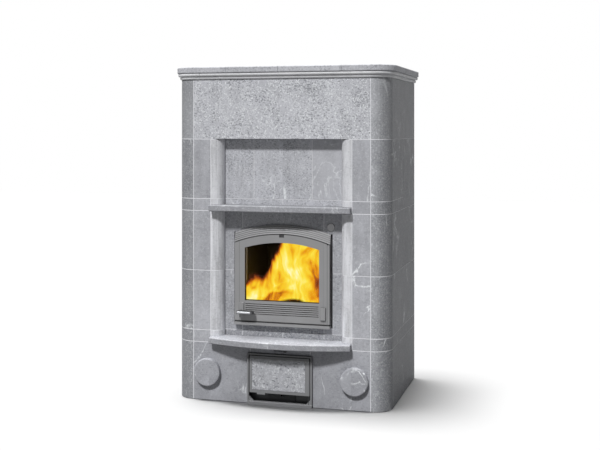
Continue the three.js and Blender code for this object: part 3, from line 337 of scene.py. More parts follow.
# Each look: its base colour, and its amounts in the order of stoneAmounts, which are the group's inputs.
stoneAmounts = ("Fleck Scale", "Dark Flecks", "Pale Flecks", "Veins", "Streaks", "Clouds", "Mottle")
stoneLooks = {
    "flat": ((0.414, 0.419, 0.449), (60, 0.14, 0.22, 1.3, 0.4, 0.2, 0.13)),
    "pilaster": ((0.635, 0.640, 0.668), (70, 0.10, 0.35, 0.4, 1.4, 0.08, 0.07)),
    # painted shade: the corner and crown looks are darker copies of the flat's stone, for the light falling
    # off round the corners and on the sides
    "corner": ((0.257, 0.262, 0.278), (120, 0.3, 0.24, 0.9, 0.25, 0.16, 0.12)),
    "crown": ((0.294, 0.299, 0.315), (120, 0.26, 0.25, 0.5, 0.05, 0.16, 0.12)),
    "cheek": ((0.376, 0.381, 0.408), (80, 0.34, 0.34, 0.6, 0.10, 0.14, 0.16)),
    # painted shade: the sill look is a darker copy of the cheek's stone, for the shadow under the door's
    # sill bar
    "sill": ((0.285, 0.289, 0.310), (80, 0.45, 0.45, 0.15, 0.10, 0.14, 0.16)),
    "smooth": ((0.475, 0.480, 0.512), (110, 0.12, 0.15, 0.6, 0.25, 0.10, 0.08)),
    "frieze": ((0.515, 0.521, 0.556), (95, 0.55, 1.0, 0.6, 0.0, 0.14, 0.24)),
    "niche": ((0.484, 0.490, 0.525), (110, 0.42, 0.45, 1.1, 0.55, 0.14, 0.18)),
    "base": ((0.367, 0.372, 0.401), (90, 0.22, 0.15, 0.9, 0.0, 0.2, 0.1)),
    "shelf": ((0.324, 0.328, 0.352), (110, 0.2, 0.28, 0.50, 0.0, 0.12, 0.08)),
    "cornice": ((0.490, 0.494, 0.527), (100, 0.35, 0.40, 0.35, 0.0, 0.12, 0.12)),
    # painted light: the moulding look is a much paler copy of the cornice's stone, for light on the beads
    # under the fascia
    "moulding": ((0.775, 0.780, 0.800), (100, 0.08, 0.6, 0.35, 0.0, 0.12, 0.12)),
    "panel": ((0.405, 0.410, 0.437), (60, 0.6, 0.65, 0.10, 0.0, 0.10, 0.4)),
    "core": ((0.120, 0.112, 0.100), (90, 0.60, 0.20, 0.10, 0.0, 0.16, 0.30)),
    "soot": ((0.003, 0.0025, 0.0025), (90, 0.20, 0.0, 0.0, 0.0, 0.10, 0.10)),
}
# painted light: the corner stones are painted paler towards their joint with the flat, where the round faces
# the light, more on the right than on the left, over these distances from the middle
cornerPaintedLight = {"looks": ("corner", "crown"), "from": (0.528, 0.456), "left": 0.15, "right": 0.46}
# painted light and painted shade: a shelf's top is painted paler on the hearth shelf and darker on the
# mantel shelf above these heights, for how the light falls on it
paintedTopLight = {"hearth_shelf": {"from": (0.3190, 0.3248), "gain": 0.40},
            "mantel_shelf": {"from": (0.9865, 0.9877), "gain": -0.30}}
# zones of a stone, from the middle outwards: the distance from the middle where each starts, and its look
jambZones = [(0, "cheek"), (stove["recessX"], "pilaster"), (stove["flatX"], "flat"),
             (stove["seamX"], "corner")]
jambStones = ("lower_belt", "jamb_lower", "jamb_upper", "upper_belt", "niche_jamb")
plainStones = {
    "corner": ("base_side", "fire_side_lower", "fire_side_upper", "niche_side"),
    "crown": ("frieze_side",),
    "base": ("base_front", "soot_cover", "ash_lintel", "back_wall"),
    "sill": ("sill_stone",),
    "cheek": ("door_arch",),
    "niche": ("upper_belt_recess", "niche_panel"),
    "smooth": ("niche_panel_right",),
    "frieze": ("frieze_stone",),
    "shelf": ("mantel_shelf", "hearth_shelf"),
    "moulding": ("cornice_moulding",),
    "cornice": ("top_slab",),
    "panel": ("ash_door_panel",),
    "core": ("base_slab", "core_base", "core_block"),
    "soot": ("firebox_lining",),
}
stoneZones = {kind: jambZones for kind in jambStones}
stoneZones.update({kind: [(0, look)] for look, kinds in plainStones.items() for kind in kinds})


# The node tree of a material or a world, emptied
def clearTree(owner):
    owner.use_nodes = True
    owner.node_tree.nodes.clear()
    return owner.node_tree


# A material with its tree, its surface shader and the place on the object
def shaderOf(name):
    material = bpy.data.materials.new(name)
    tree = clearTree(material)
    shader = tree.nodes.new("ShaderNodeBsdfPrincipled")
    addNode(tree, "ShaderNodeOutputMaterial", {"Surface": shader.outputs["BSDF"]})
    place = tree.nodes.new("ShaderNodeTexCoord").outputs["Object"]
    return material, tree, shader, place


# One soapstone look at a place: colour is base x tone x tint under the flecks and the threads.
def stoneColour(tree, place, tint, look):
    base, amounts = stoneLooks[look]
    stone = placeGroup(tree, soapstone, {"Vector": place, **dict(zip(stoneAmounts, amounts))})
    colour = scaled(tree, base, product(tree, stone["Tone"], tint))
    colour = mixColour(tree, stone["Dark"], colour, stonePattern["darkColour"])
    colour = mixColour(tree, stone["Pale"], colour, stonePattern["paleColour"])
    return colour, stone["Height"], stone["Roughness"]


# Stone in zones: a zone's look takes over where the distance from the middle passes its start. A corner look
# is multiplied by 1 + paling, painted light where its round faces the light, and a shelf's top by 1 + gain,
# painted light on the hearth shelf and painted shade on the mantel shelf.
def stoneMaterial(name, seed, zones, worn=None):
    material, tree, shader, place = shaderOf(name)
    parts = partsOf(tree, place)
    cells = placeGroup(tree, stoneCells, {"Vector": place, "Seed": float(seed),
                                          "Spread": cellPattern["tintSpread"]})
    mixed = None
    for start, look in zones:
        colour, height, gloss = stoneColour(tree, cells["Vector"], cells["Tint"], look)
        # painted light: the corner stones are paler towards their joint, where their round faces the light,
        # and more so on the right
        if look in cornerPaintedLight["looks"]:
            onRight = calc(tree, "GREATER_THAN", parts["X"], 0.0)
            gain = mixNumber(tree, onRight, cornerPaintedLight["left"], cornerPaintedLight["right"])
            near = between(tree, cells["Distance"], *cornerPaintedLight["from"])
            colour = scaled(tree, colour, calc(tree, "MULTIPLY_ADD", near, gain, 1.0))
        if mixed:
            inZone = calc(tree, "GREATER_THAN", cells["Distance"], start)
            colour = mixColour(tree, inZone, mixed[0], colour)
            height = mixNumber(tree, inZone, mixed[1], height)
            gloss = mixNumber(tree, inZone, mixed[2], gloss)
        mixed = colour, height, gloss
    # painted light on the hearth shelf's top and painted shade on the mantel shelf's top
    if worn:
        high = between(tree, parts["Z"], *worn["from"])
        colour = scaled(tree, colour, calc(tree, "MULTIPLY_ADD", high, worn["gain"], 1.0))
    setInputs(tree, shader, {"Base Color": colour, "Roughness": gloss,
                             "Normal": bumpOf(tree, height, **stonePattern["bump"]),
                             "Specular IOR Level": stonePattern["specular"]})
    return material


# Gives a node of the model one material in place of its own.
def paint(name, material):
    slots = cadNodes[name].data.materials
    slots.clear()
    slots.append(material)


seed, seedStep = 3, 11
longestFirst = sorted(stoneZones, key=len, reverse=True)  # niche_panel_right comes before niche_panel
for name in sorted(cadNodes):
    kind = next((key for key in longestFirst if name.startswith(key)), None)
    if kind:
        seed += seedStep
        paint(name, stoneMaterial(name + "Stone", seed, stoneZones[kind], worn=paintedTopLight.get(name)))
print("stone painted")

# A pair gives the values between which the metal turns black; most of these marks are painted shade. The top
# mask:
# heights, with a ragged edge, above which lies painted shade for the shadow of the shelf above. inside:
# depths, behind which recesses get painted shade (the latch's top behind its roll is black). arc: radii of
# the door's arch, painted
# shade in its seam. edges: heights at the open seams, painted shade in them. ribs: grooves at a pitch from
# the foot
# outwards, painted shade in them. lines: scribed lines, each an x and how dark it is, painted shade in the
# grooves.
castIron = {"base": (0.284, 0.284, 0.289), "metal": 0.06, "grain": 620, "clouds": 0.05,
            "bump": 0.20, "rough": 0.36}
metalLooks = {
    "castIron": castIron,
    # painted shade on the slide's parts behind its face
    "slideIron": {**castIron, "inside": (-0.3458, -0.3446)},
    # painted shade in the seams round the leaf's arch and foot, in the recesses behind its face, and in its
    # scribed grooves
    "leafIron": {**castIron, "arc": (0.6878, 0.6886), "edges": [(0.4062, 0.4052)],
                 "inside": (-0.3362, -0.3350), "lines": [(-0.2220, 0.30), (0.2140, 0.16), (0.2340, 0.42)]},
    # painted shade in the seam along the sill bar's top
    "sillIron": {**castIron, "edges": [(0.3990, 0.4000)]},
    # painted shade: the header's top is blackened for the mantel shelf's shadow, its arch rim for the seam,
    # and its rib grooves for the shade in them
    "headerIron": {**castIron, "base": (0.294, 0.294, 0.300), "metal": 0.10, "rough": 0.34,
                   "soot": (0.856, 0.872), "arc": (0.6936, 0.6929),
                   "ribs": {"foot": 0.692, "pitch": 0.009, "depth": 0.42}},
    "darkIron": {"base": (0.030, 0.030, 0.032), "metal": 0.15, "grain": 700, "clouds": 0.10,
                 "bump": 0.18, "rough": 0.36},
    # painted shade: the ash door's top border is blackened for the hearth shelf's shadow, and the cavity
    # behind the frame's face for the shade in it
    "borderIron": {"base": (0.219, 0.221, 0.229), "metal": 0.08, "grain": 700, "clouds": 0.06,
                   "bump": 0.15, "rough": 0.36, "soot": (0.219, 0.230), "inside": (-0.366, -0.362)},
    "latchSteel": {"base": (0.50, 0.51, 0.53), "metal": 0.30, "grain": 900, "clouds": 0.05,
                   "bump": 0.05, "rough": 0.30, "inside": (-0.3915, -0.3900)},
    "dullSteel": {"base": (0.20, 0.20, 0.205), "metal": 0.60, "grain": 900, "clouds": 0.08,
                  "bump": 0.10, "rough": 0.34},
    "sootySteel": {"base": (0.030, 0.028, 0.027), "metal": 0.30, "grain": 300, "clouds": 0.20,
                   "bump": 0.40, "rough": 0.45},
}
metalNodes = {
    "castIron": ("fire_door_frame",),
    "slideIron": ("air_slide",),
    "leafIron": ("fire_door_leaf",),
    "sillIron": ("door_sill_bar",),
    "headerIron": ("fire_door_header",),
    "darkIron": ("ash_hinge_rod", "ash_air_slide", "air_lever"),
    "borderIron": ("ash_door_leaf", "ash_door_frame"),
    "latchSteel": ("latch_handle",),
    "dullSteel": ("round_boss",),
    "sootySteel": ("fire_grate", "ash_pan", "flue_collar", "glass_retainer"),
}
metalPattern = {
    "sootEdge": {"scale": 60.0, "detail": 2.0},
    "sootRagged": 0.010,  # how far the edge of the painted shade runs up and down
    "ribFrom": (0.30, 0.46),  # share of the pitch from the middle of a rib to its groove
    "lineFrom": (0.0019, 0.0008),  # distance from a scribed line
    "blackening": -0.77,
    "bumpDistance": 0.0006,
    "specular": 0.3,
}


# Metal: colour is base x tone, and each mask takes the blackening off the tone; the masks are painted shade
# under the shelves, in the seams and in the recesses, and the latch's black top. Rib grooves and scribed
# lines are darkened too, as painted shade. Under a mask the surface is bare metal, so that no pale gloss
# lies over the black. The arch's radius is taken in x and z.
def metalMaterial(name):
    look = metalLooks[name]
    material, tree, shader, place = shaderOf(name)
    skin = placeGroup(tree, castSkin, {"Vector": place, "Grain Scale": float(look["grain"]),
                                       "Clouds": look["clouds"], "Roughness": look["rough"]})
    parts = partsOf(tree, place)
    masks, tone = [], skin["Tone"]
    # painted shade for the shadow of the shelf above, with a ragged edge
    if "soot" in look:
        edge = noiseOf(tree, place, **metalPattern["sootEdge"])
        height = swing(tree, edge, metalPattern["sootRagged"], parts["Z"])
        masks.append(between(tree, height, *look["soot"]))
    # painted shade in the recesses behind a depth; on the latch, its top behind the front roll is black
    if "inside" in look:
        masks.append(between(tree, parts["Y"], *look["inside"]))
    # painted shade in the seam round the door's arch
    if "arc" in look:
        radius = farFrom(tree, place, (0, 0, stove["archCentre"]), (1, 0, 1))
        masks.append(between(tree, radius, *look["arc"]))
    # painted shade in the grooves between the header's ribs
    if "ribs" in look:
        ribs = look["ribs"]
        turns = calc(tree, "DIVIDE", calc(tree, "SUBTRACT", radius, ribs["foot"]), ribs["pitch"])
        offRib = awayFrom(tree, calc(tree, "FRACT", turns))
        groove = between(tree, offRib, *metalPattern["ribFrom"])
        tone = toned(tree, tone, groove, -ribs["depth"])
    # painted shade in the seams at these heights
    masks += [between(tree, parts["Z"], *edge) for edge in look.get("edges", [])]
    # painted shade: dark lines stand for scribed grooves
    for x, depth in look.get("lines", []):
        line = between(tree, awayFrom(tree, parts["X"], x), *metalPattern["lineFrom"])
        tone = toned(tree, tone, line, -depth)
    metal = look["metal"]
    for mask in masks:
        tone = toned(tree, tone, mask, metalPattern["blackening"])
        metal = calc(tree, "MAXIMUM", mask, metal)
    setInputs(tree, shader, {
        "Base Color": scaled(tree, look["base"], tone), "Roughness": skin["Roughness"], "Metallic": metal,
        "Normal": bumpOf(tree, skin["Height"], look["bump"], metalPattern["bumpDistance"]),
        "Specular IOR Level": metalPattern["specular"]})
    return material


for look, names in metalNodes.items():
    material = metalMaterial(look)
    for name in names:
        paint(name, material)

glass = {"smear": {"scale": 18.0, "detail": 4.0, "roughness": 0.6}, "smearGain": 0.03,
         "ior": 1.06, "specular": 0.5}


# Clear glass whose roughness is smears x gain
def glassMaterial():
    material, tree, shader, place = shaderOf("doorGlass")
    smear = noiseOf(tree, place, **glass["smear"])
    setInputs(tree, shader, {
        "Base Color": (1, 1, 1, 1), "Roughness": product(tree, smear, glass["smearGain"]),
        "Transmission Weight": 1.0, "IOR": glass["ior"], "Specular IOR Level": glass["specular"]})
    return material


rope = {
    "braidScale": 160.0,
    "braidDistortion": 2.0,
    "colours": [(0.0, (0.035, 0.033, 0.030)), (1.0, (0.12, 0.115, 0.105))],
    "bump": {"strength": 0.6, "distance": 0.001},
    "rough": 0.95,
}


# Rope with a slanting braid: the bands of a bent wave give its colour and its height.
def ropeMaterial():
    material, tree, shader, place = shaderOf("sealRope")
    wave = {"Vector": place, "Scale": rope["braidScale"], "Distortion": rope["braidDistortion"]}
    braid = addNode(tree, "ShaderNodeTexWave", wave, bands_direction="DIAGONAL").outputs["Fac"]
    setInputs(tree, shader, {
        "Base Color": rampOf(tree, braid, rope["colours"]), "Roughness": rope["rough"],
        "Normal": bumpOf(tree, braid, **rope["bump"])})
    return material


paint("door_glass", glassMaterial())
paint("door_gasket", ropeMaterial())
print("metal and glass painted")


# An object of the scene with its data
def addObject(name, data):
    thing = bpy.data.objects.new(name, data)
    bpy.context.scene.collection.objects.link(thing)
    return thing


# A mesh object at the origin from points and faces; on a closed mesh the faces are turned outwards.
def meshPiece(name, points, faces, material, body="root", smooth=False, closed=True):
    mesh = bpy.data.meshes.new(name)
    points = np.asarray(points, float).reshape(-1, 3)
    mesh.from_pydata(points.tolist(), [], [list(map(int, face)) for face in faces])
    if closed:
        shape = bmesh.new()
        shape.from_mesh(mesh)
        bmesh.ops.recalc_face_normals(shape, faces=shape.faces)
        shape.to_mesh(mesh)
        shape.free()
    mesh.polygons.foreach_set("use_smooth", [smooth] * len(mesh.polygons))
    mesh.materials.append(material)
    mesh.update()
    piece = addObject(name, mesh)
    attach(piece, body)
    return piece


# Quads between the rows of a grid of rows by columns points; wrap closes the columns.
def gridFaces(rows, columns, wrap=False):
    r = np.arange(rows - 1)[:, None] * columns
    c = np.arange(columns if wrap else columns - 1)[None, :]
    n = (c + 1) % columns
    quads = np.stack([r + c, r + n, r + columns + n, r + columns + c], -1)
    return quads.reshape(-1, 4).tolist()


mortar = {
    "half": 0.0017,  # half of the joint's width
    "depth": 0.00035,  # face of the mortar behind the face of the stones
    "hollow": 0.00025,  # how far the face is hollowed
    "foot": 0.00185,  # bottom of the V
    "bed": 0.00015,  # middle of the gap under a course
    # beds: height, x at which the joint starts, y at which it ends
    "beds": [(0.293, 0.366, stove["backY"]), (0.354, 0.213, stove["backY"]),
             (0.655, 0.258, stove["backY"]), (0.956, 0.366, stove["backY"]),
             (1.017, 0.0, stove["nicheY"]), (1.318, 0.352, stove["backY"])],
    # uprights on both sides, and those in the middle: x, y, and the heights of both ends
    "uprights": [(stove["seamX"], stove["frontY"], 0.003, stove["bodyTop"] - 0.003),
                 (stove["flatX"], stove["frontY"], 0.296, 1.315),
                 (0.21185, stove["recessY"], 0.356, 0.382),
                 (0.212, stove["recessY"] + 0.0003, 0.327, 0.352),
                 (0.21185, stove["recessY"], 0.868, 0.954),
                 (0.152, stove["recessY"], 1.019, 1.316),
                 (0.15515, stove["frontY"], 0.2563, 0.291)],
    "middles": [(0, stove["recessY"] + 0.0003, 0.327, 0.352), (0, stove["recessY"] + 0.0003, 0.990, 1.015)],
    "nicheSide": (1.019, 1.316),  # heights of the joint on the side
    "rearHalf": 0.489,
    "rearBeds": (0.293, 0.655, 0.956, 1.318),
    "base": (0.64, 0.645, 0.67),
    "grain": {"scale": 500.0, "detail": 3.0, "roughness": 0.7},
    "patch": {"scale": 22.0, "detail": 3.0, "roughness": 0.6},
    "tone": 0.73,
    "patchGain": 0.34,
    "grainGain": 0.2,
    "outer": (-0.335, -0.350),  # depths over which the front's joints turn paler
    "outerGain": 0.22,
    "bump": {"strength": 0.4, "distance": 0.0005},
    "rough": 0.9,
}


# Mortar: colour is base x (tone + patches + grain), and paler on the front than in the recess.
def mortarMaterial():
    material, tree, shader, place = shaderOf("jointMortar")
    grain = noiseOf(tree, place, **mortar["grain"])
    patch = noiseOf(tree, place, **mortar["patch"])
    tone = calc(tree, "MULTIPLY_ADD", patch, mortar["patchGain"], mortar["tone"])
    tone = calc(tree, "MULTIPLY_ADD", grain, mortar["grainGain"], tone)
    outer = between(tree, partsOf(tree, place)["Y"], *mortar["outer"])
    tone = toned(tree, tone, outer, mortar["outerGain"])
    setInputs(tree, shader, {
        "Base Color": scaled(tree, mortar["base"], tone), "Roughness": mortar["rough"],
        "Normal": bumpOf(tree, grain, **mortar["bump"])})
    return material


# Profile carried along a path: corner k at point i is the point, plus out times its depth, plus across
# times its width. The profile is a V with a hollowed face.
def mortarStrip(path, outs, across):
    profile = np.array([[-mortar["half"], -mortar["depth"]], [0, -mortar["depth"] - mortar["hollow"]],
                        [mortar["half"], -mortar["depth"]], [0, -mortar["foot"]]])
    path, outs = np.asarray(path, float), np.asarray(outs, float)
    across = np.broadcast_to(np.asarray(across, float), path.shape)
    points = (path[:, None, :] + outs[:, None, :] * profile[None, :, 1:2]
              + across[:, None, :] * profile[None, :, 0:1])
    count = len(path)
    ends = [[3, 2, 1, 0], [4 * count - 4 + k for k in range(4)]]
    return points.reshape(-1, 3), gridFaces(count, 4, wrap=True) + ends


# Several meshes as one: each one's faces count on from the points of those before it.
def joinParts(parts):
    points, faces = [], []
    for partPoints, partFaces in parts:
        first = sum(len(p) for p in points)
        points.append(np.asarray(partPoints))
        faces += [[i + first for i in face] for face in partFaces]
    return np.concatenate(points), faces


# Arc in the plan: centre + radius x (cosine, sine) of each angle, with the outward directions (cosine, sine)
def arcOf(x, y, radius, degrees):
    turn = np.radians(degrees)
    outs = np.stack([np.cos(turn), np.sin(turn)], -1)
    return (np.array([x, y]) + radius * outs).tolist(), outs.tolist()


# The right half of the shell's plan from startX to endY, as points with their outward directions:
# recess, round pilaster edge, flat, rounded corner, side.
def shellPlan(startX, endY):
    path, outs = [], []
    front, corner, edge, recessX = stove["frontY"], stove["corner"], stove["pilaster"], stove["recessX"]
    if startX < recessX:
        angles = np.linspace(180, 270, stove["pilasterSteps"] + 1)[1:]
        arcPath, arcOuts = arcOf(recessX + edge, front + edge, edge, angles)
        path += [[startX, stove["recessY"]], [recessX, stove["recessY"]]] + arcPath
        outs += [[0, -1], [-1, -1]] + arcOuts
    else:
        path.append([startX, front])
        outs.append([0, -1])
    angles = np.linspace(-90, 0, stove["cornerSteps"] + 1)
    arcPath, arcOuts = arcOf(stove["halfWidth"] - corner, front + corner, corner, angles)
    path += arcPath + [[stove["halfWidth"], endY]]
    outs += arcOuts + [[1, 0]]
    return np.array(path), np.array(outs)


# Level joint along the shell's plan at a height, on the right (side 1) or mirrored to the left (side -1)
def bedJoint(level, startX, endY, side):
    path, outs = shellPlan(startX, endY)
    flip = np.array([side, 1])
    z = np.full((len(path), 1), level - mortar["bed"])
    return mortarStrip(np.hstack([path * flip, z]), np.hstack([outs * flip, z * 0]), (0, 0, 1))


# Upright joint at x and y from height z0 to height z1
def uprightJoint(x, y, z0, z1, out=(0, -1, 0), across=(1, 0, 0)):
    return mortarStrip([[x, y, z0], [x, y, z1]], [out, out], across)


# All joints as one piece: level ones round the shell, upright ones, and level ones across the back
def buildMortar():
    back, half = stove["backY"], mortar["rearHalf"]
    parts = [bedJoint(*bed, hand) for bed in mortar["beds"] for hand in (1, -1)]
    for hand in (1, -1):
        parts += [uprightJoint(hand * x, y, z0, z1) for x, y, z0, z1 in mortar["uprights"]]
        parts.append(uprightJoint(hand * stove["halfWidth"], stove["nicheY"], *mortar["nicheSide"],
                                  (hand, 0, 0), (0, 1, 0)))
    parts += [uprightJoint(*spec) for spec in mortar["middles"]]
    parts += [mortarStrip([[-half, back, z], [half, back, z]], [(0, 1, 0)] * 2, (0, 0, 1))
              for z in mortar["rearBeds"]]
    points, faces = joinParts(parts)
    return meshPiece("mortarJoints", points, faces, mortarMaterial())


arch = {
    "halfX": 0.250,
    "headerRadius": 0.7373,  # top edge of the ribbed header
    "stoneCentre": 0.245, "stoneRadius": 0.6557,  # arch of the stone over it
    "faceY": -0.3143, "backY": -0.3060,
    "least": 0.0006,  # height of the crescent at its tips
    "hollow": 0.05,  # depth of the hollow per height of the crescent
    "columns": 81,
    "seed": 7,
}


# Cement in the crescent between the header and the stone arch: each end of a column lies on one of the two
# circles, z = centre + root of (radius squared less x squared), and the face is hollowed a little.
def buildArchSeal():
    x = np.linspace(-arch["halfX"], arch["halfX"], arch["columns"])
    low = stove["archCentre"] + np.sqrt(arch["headerRadius"] ** 2 - x ** 2)
    high = arch["stoneCentre"] + np.sqrt(arch["stoneRadius"] ** 2 - x ** 2)
    high = np.maximum(high, low + arch["least"])
    hollow = arch["hollow"] * (high - low)
    rows = [(low, arch["faceY"]), ((low + high) / 2, arch["faceY"] + hollow), (high, arch["faceY"]),
            (high, arch["backY"]), (low, arch["backY"])]
    points = np.stack([np.stack([x, x * 0 + y, z], -1) for z, y in rows], 1)
    faces = gridFaces(arch["columns"], len(rows), wrap=True)
    last = len(rows) * (arch["columns"] - 1)
    faces += [[4, 3, 2, 1, 0], [last + k for k in range(len(rows))]]
    cement = stoneMaterial("archSealStone", arch["seed"], [(0, "cheek")])
    return meshPiece("archSeal", points, faces, cement)


buildMortar()
buildArchSeal()
print("mortar laid")

fire = {
    # each sheet: distance behind the front, x range, height over the firebox floor along x, wave, how far
    # its left end bends forward, heat and pattern
    "sheets": [
        {"name": "flameRear", "y": 0.330, "x": (-0.150, 0.205),
         "heights": [0.22, 0.34, 0.44, 0.50, 0.52, 0.50, 0.46],
         "wave": 0.020, "bend": 0.0, "heat": -0.10, "seed": 1.0},
        {"name": "flameMiddle", "y": 0.255, "x": (-0.195, 0.205),
         "heights": [0.20, 0.23, 0.29, 0.42, 0.52, 0.54, 0.52, 0.48],
         "wave": 0.020, "bend": 0.0, "heat": -0.04, "seed": 4.0},
        {"name": "flameFront", "y": 0.152, "x": (-0.201, 0.205),
         "heights": [0.240, 0.262, 0.252, 0.295, 0.350, 0.405, 0.470, 0.520, 0.540, 0.530, 0.510, 0.500,
                     0.505, 0.510],
         "wave": 0.006, "bend": 0.088, "heat": 0.02, "seed": 7.0},
    ],
    "foot": 0.402,
    "roof": 0.455,  # no sheet is taller than this
    "columns": 91,
    "rows": 61,
    "ripple": 45.0,  # turn of the wave in radians to the metre
    "footWave": 0.4,  # share of the wave at the sheet's foot
    "bendShare": 0.22,  # share of the width that bends
    # noises: the curls and sweeps, the tall tongues and the fine streaks, all bent by one slow noise
    "bender": {"Scale": 8.0, "Detail": 2.0},
    "benderStretch": (1, 0.4, 0.7),
    "benderPush": 0.17,
    "tongue": {"scale": 15.0, "detail": 2.0, "stretch": (1, 0.4, 0.42)},
    "streak": {"scale": 48.0, "detail": 2.0, "stretch": (1, 0.4, 0.20)},
    "curl": {"scale": 10.0, "detail": 1.0, "distortion": 0.3, "stretch": (0.75, 0.4, 1.25)},
    # heat: its level and what each noise and each mask adds
    "level": 0.595,
    "tongueGain": 1.10,
    "streakGain": 0.60,
    "gains": {"core": 0.26, "sides": -0.13, "pockets": -0.20, "sweeps": 0.13, "top": -0.76},
    "core": (0.020, 0.0, 0.600),  # middle of the hottest part
    "coreStretch": (1.0, 0.0, 0.70),
    "coreFrom": (0.13, 0.0),
    "sidesX": 0.01,  # the sides are cooler, from this x outwards
    "sidesFrom": (0.08, 0.19),
    "lowFrom": (0.620, 0.530),  # heights over which pockets and sweeps come in, downwards
    "pocketFrom": (0.47, 0.33),
    "sweepLevel": 0.54,
    "sweepFrom": (0.085, 0.0),
    "tip": (0.10, 0.0),  # depths under its top over which a sheet fades
    "tipRagged": 0.10,
    "gap": (0.030, 0.0, 0.483),  # where the log shows through
    "gapStretch": (0.30, 0.0, 1.0),
    "gapRagged": 0.020,
    "gapFrom": (0.012, 0.024),
    "coverFrom": (-0.12, 0.22),
    "colours": [(0.0, (0.020, 0.005, 0.003)), (0.16, (0.085, 0.017, 0.006)), (0.30, (0.36, 0.070, 0.007)),
                (0.44, (0.80, 0.30, 0.008)), (0.58, (0.93, 0.57, 0.020)), (0.76, (0.96, 0.75, 0.060)),
                (0.90, (1.0, 0.88, 0.24)), (1.0, (1.0, 0.95, 0.58))],
    "strength": 1.0,
    "unlit": (0.02, 0.01, 0.005, 1),
}


# Flames on a sheet's own map, whose v is the depth under the sheet's top in metres. Heat is a level, plus
# tall tongues, plus fine streaks along the same flow, plus gain x mask for the core, the cooler sides, the
# dark pockets and bright sweeps near the wood, and the fade at the top. Colour and cover follow the heat.
def flameMaterial(sheet):
    material, tree, shader, place = shaderOf(sheet["name"])
    parts, seed = partsOf(tree, place), sheet["seed"]
    spot = addNode(tree, "ShaderNodeUVMap", uv_map="flameMap").outputs["UV"]
    under = partsOf(tree, spot)["Y"]
    # the seed moves each sheet to another part of the noises
    benderPlace = spread(tree, place, fire["benderStretch"], (seed, 0, seed))
    bender = addNode(tree, "ShaderNodeTexNoise", {"Vector": benderPlace, **fire["bender"]}).outputs["Color"]
    moved = vectorCalc(tree, "ADD", place, scaled(tree, bender, fire["benderPush"]))
    tongue = noiseOf(tree, moved, **fire["tongue"], shift=(seed, 0, 0.7 * seed))
    streak = noiseOf(tree, moved, **fire["streak"], shift=(0.3 * seed, 1.1, seed))
    curl = noiseOf(tree, moved, **fire["curl"], shift=(seed, 2.0, 0.4))
    core = farFrom(tree, place, fire["core"], fire["coreStretch"])
    low = between(tree, parts["Z"], *fire["lowFrom"])
    sweep = between(tree, awayFrom(tree, curl, fire["sweepLevel"]), *fire["sweepFrom"])
    masks = {
        "core": between(tree, core, *fire["coreFrom"]),
        "sides": between(tree, awayFrom(tree, parts["X"], fire["sidesX"]), *fire["sidesFrom"]),
        "pockets": product(tree, between(tree, curl, *fire["pocketFrom"]), low),
        "sweeps": product(tree, sweep, low),
        "top": between(tree, swing(tree, tongue, fire["tipRagged"], under), *fire["tip"]),
    }
    heat = swing(tree, tongue, fire["tongueGain"], fire["level"] + sheet["heat"])
    heat = swing(tree, streak, fire["streakGain"], heat)
    for mask, value in masks.items():
        heat = calc(tree, "MULTIPLY_ADD", value, fire["gains"][mask], heat)
    gap = farFrom(tree, place, fire["gap"], fire["gapStretch"])
    gap = between(tree, swing(tree, tongue, fire["gapRagged"], gap), *fire["gapFrom"])
    setInputs(tree, shader, {
        "Emission Color": rampOf(tree, heat, fire["colours"]), "Emission Strength": fire["strength"],
        "Alpha": product(tree, between(tree, heat, *fire["coverFrom"]), gap),
        "Base Color": fire["unlit"], "Roughness": 1.0, "Specular IOR Level": 0.0})
    return material


# Sheet of flame: x runs across, z is foot + v times the height at x, y waves with x and z, and the left end
# comes forward with the square of its distance.
def flameSheet(sheet):
    u, v = np.meshgrid(np.linspace(0, 1, fire["columns"]), np.linspace(0, 1, fire["rows"]))
    full = np.interp(u, np.linspace(0, 1, len(sheet["heights"])), sheet["heights"])
    heights = np.minimum(full, fire["roof"])
    under = full - v * heights
    left, right = sheet["x"]
    x = left + u * (right - left)
    z = fire["foot"] + v * heights
    swell = fire["footWave"] + (1 - fire["footWave"]) * v
    y = stove["frontY"] + sheet["y"] + sheet["wave"] * np.sin(fire["ripple"] * x + sheet["seed"]) * swell
    y -= sheet["bend"] * np.clip(1 - u / fire["bendShare"], 0, 1) ** 2
    points = np.stack([x, y, z], -1)
    faces = gridFaces(fire["rows"], fire["columns"])
    piece = meshPiece(sheet["name"], points, faces, flameMaterial(sheet), smooth=True, closed=False)
    chart = piece.data.uv_layers.new(name="flameMap")
    corners = np.array([loop.vertex_index for loop in piece.data.loops])
    chart.data.foreach_set("uv", np.stack([u.ravel()[corners], under.ravel()[corners]], -1).ravel())
    return piece


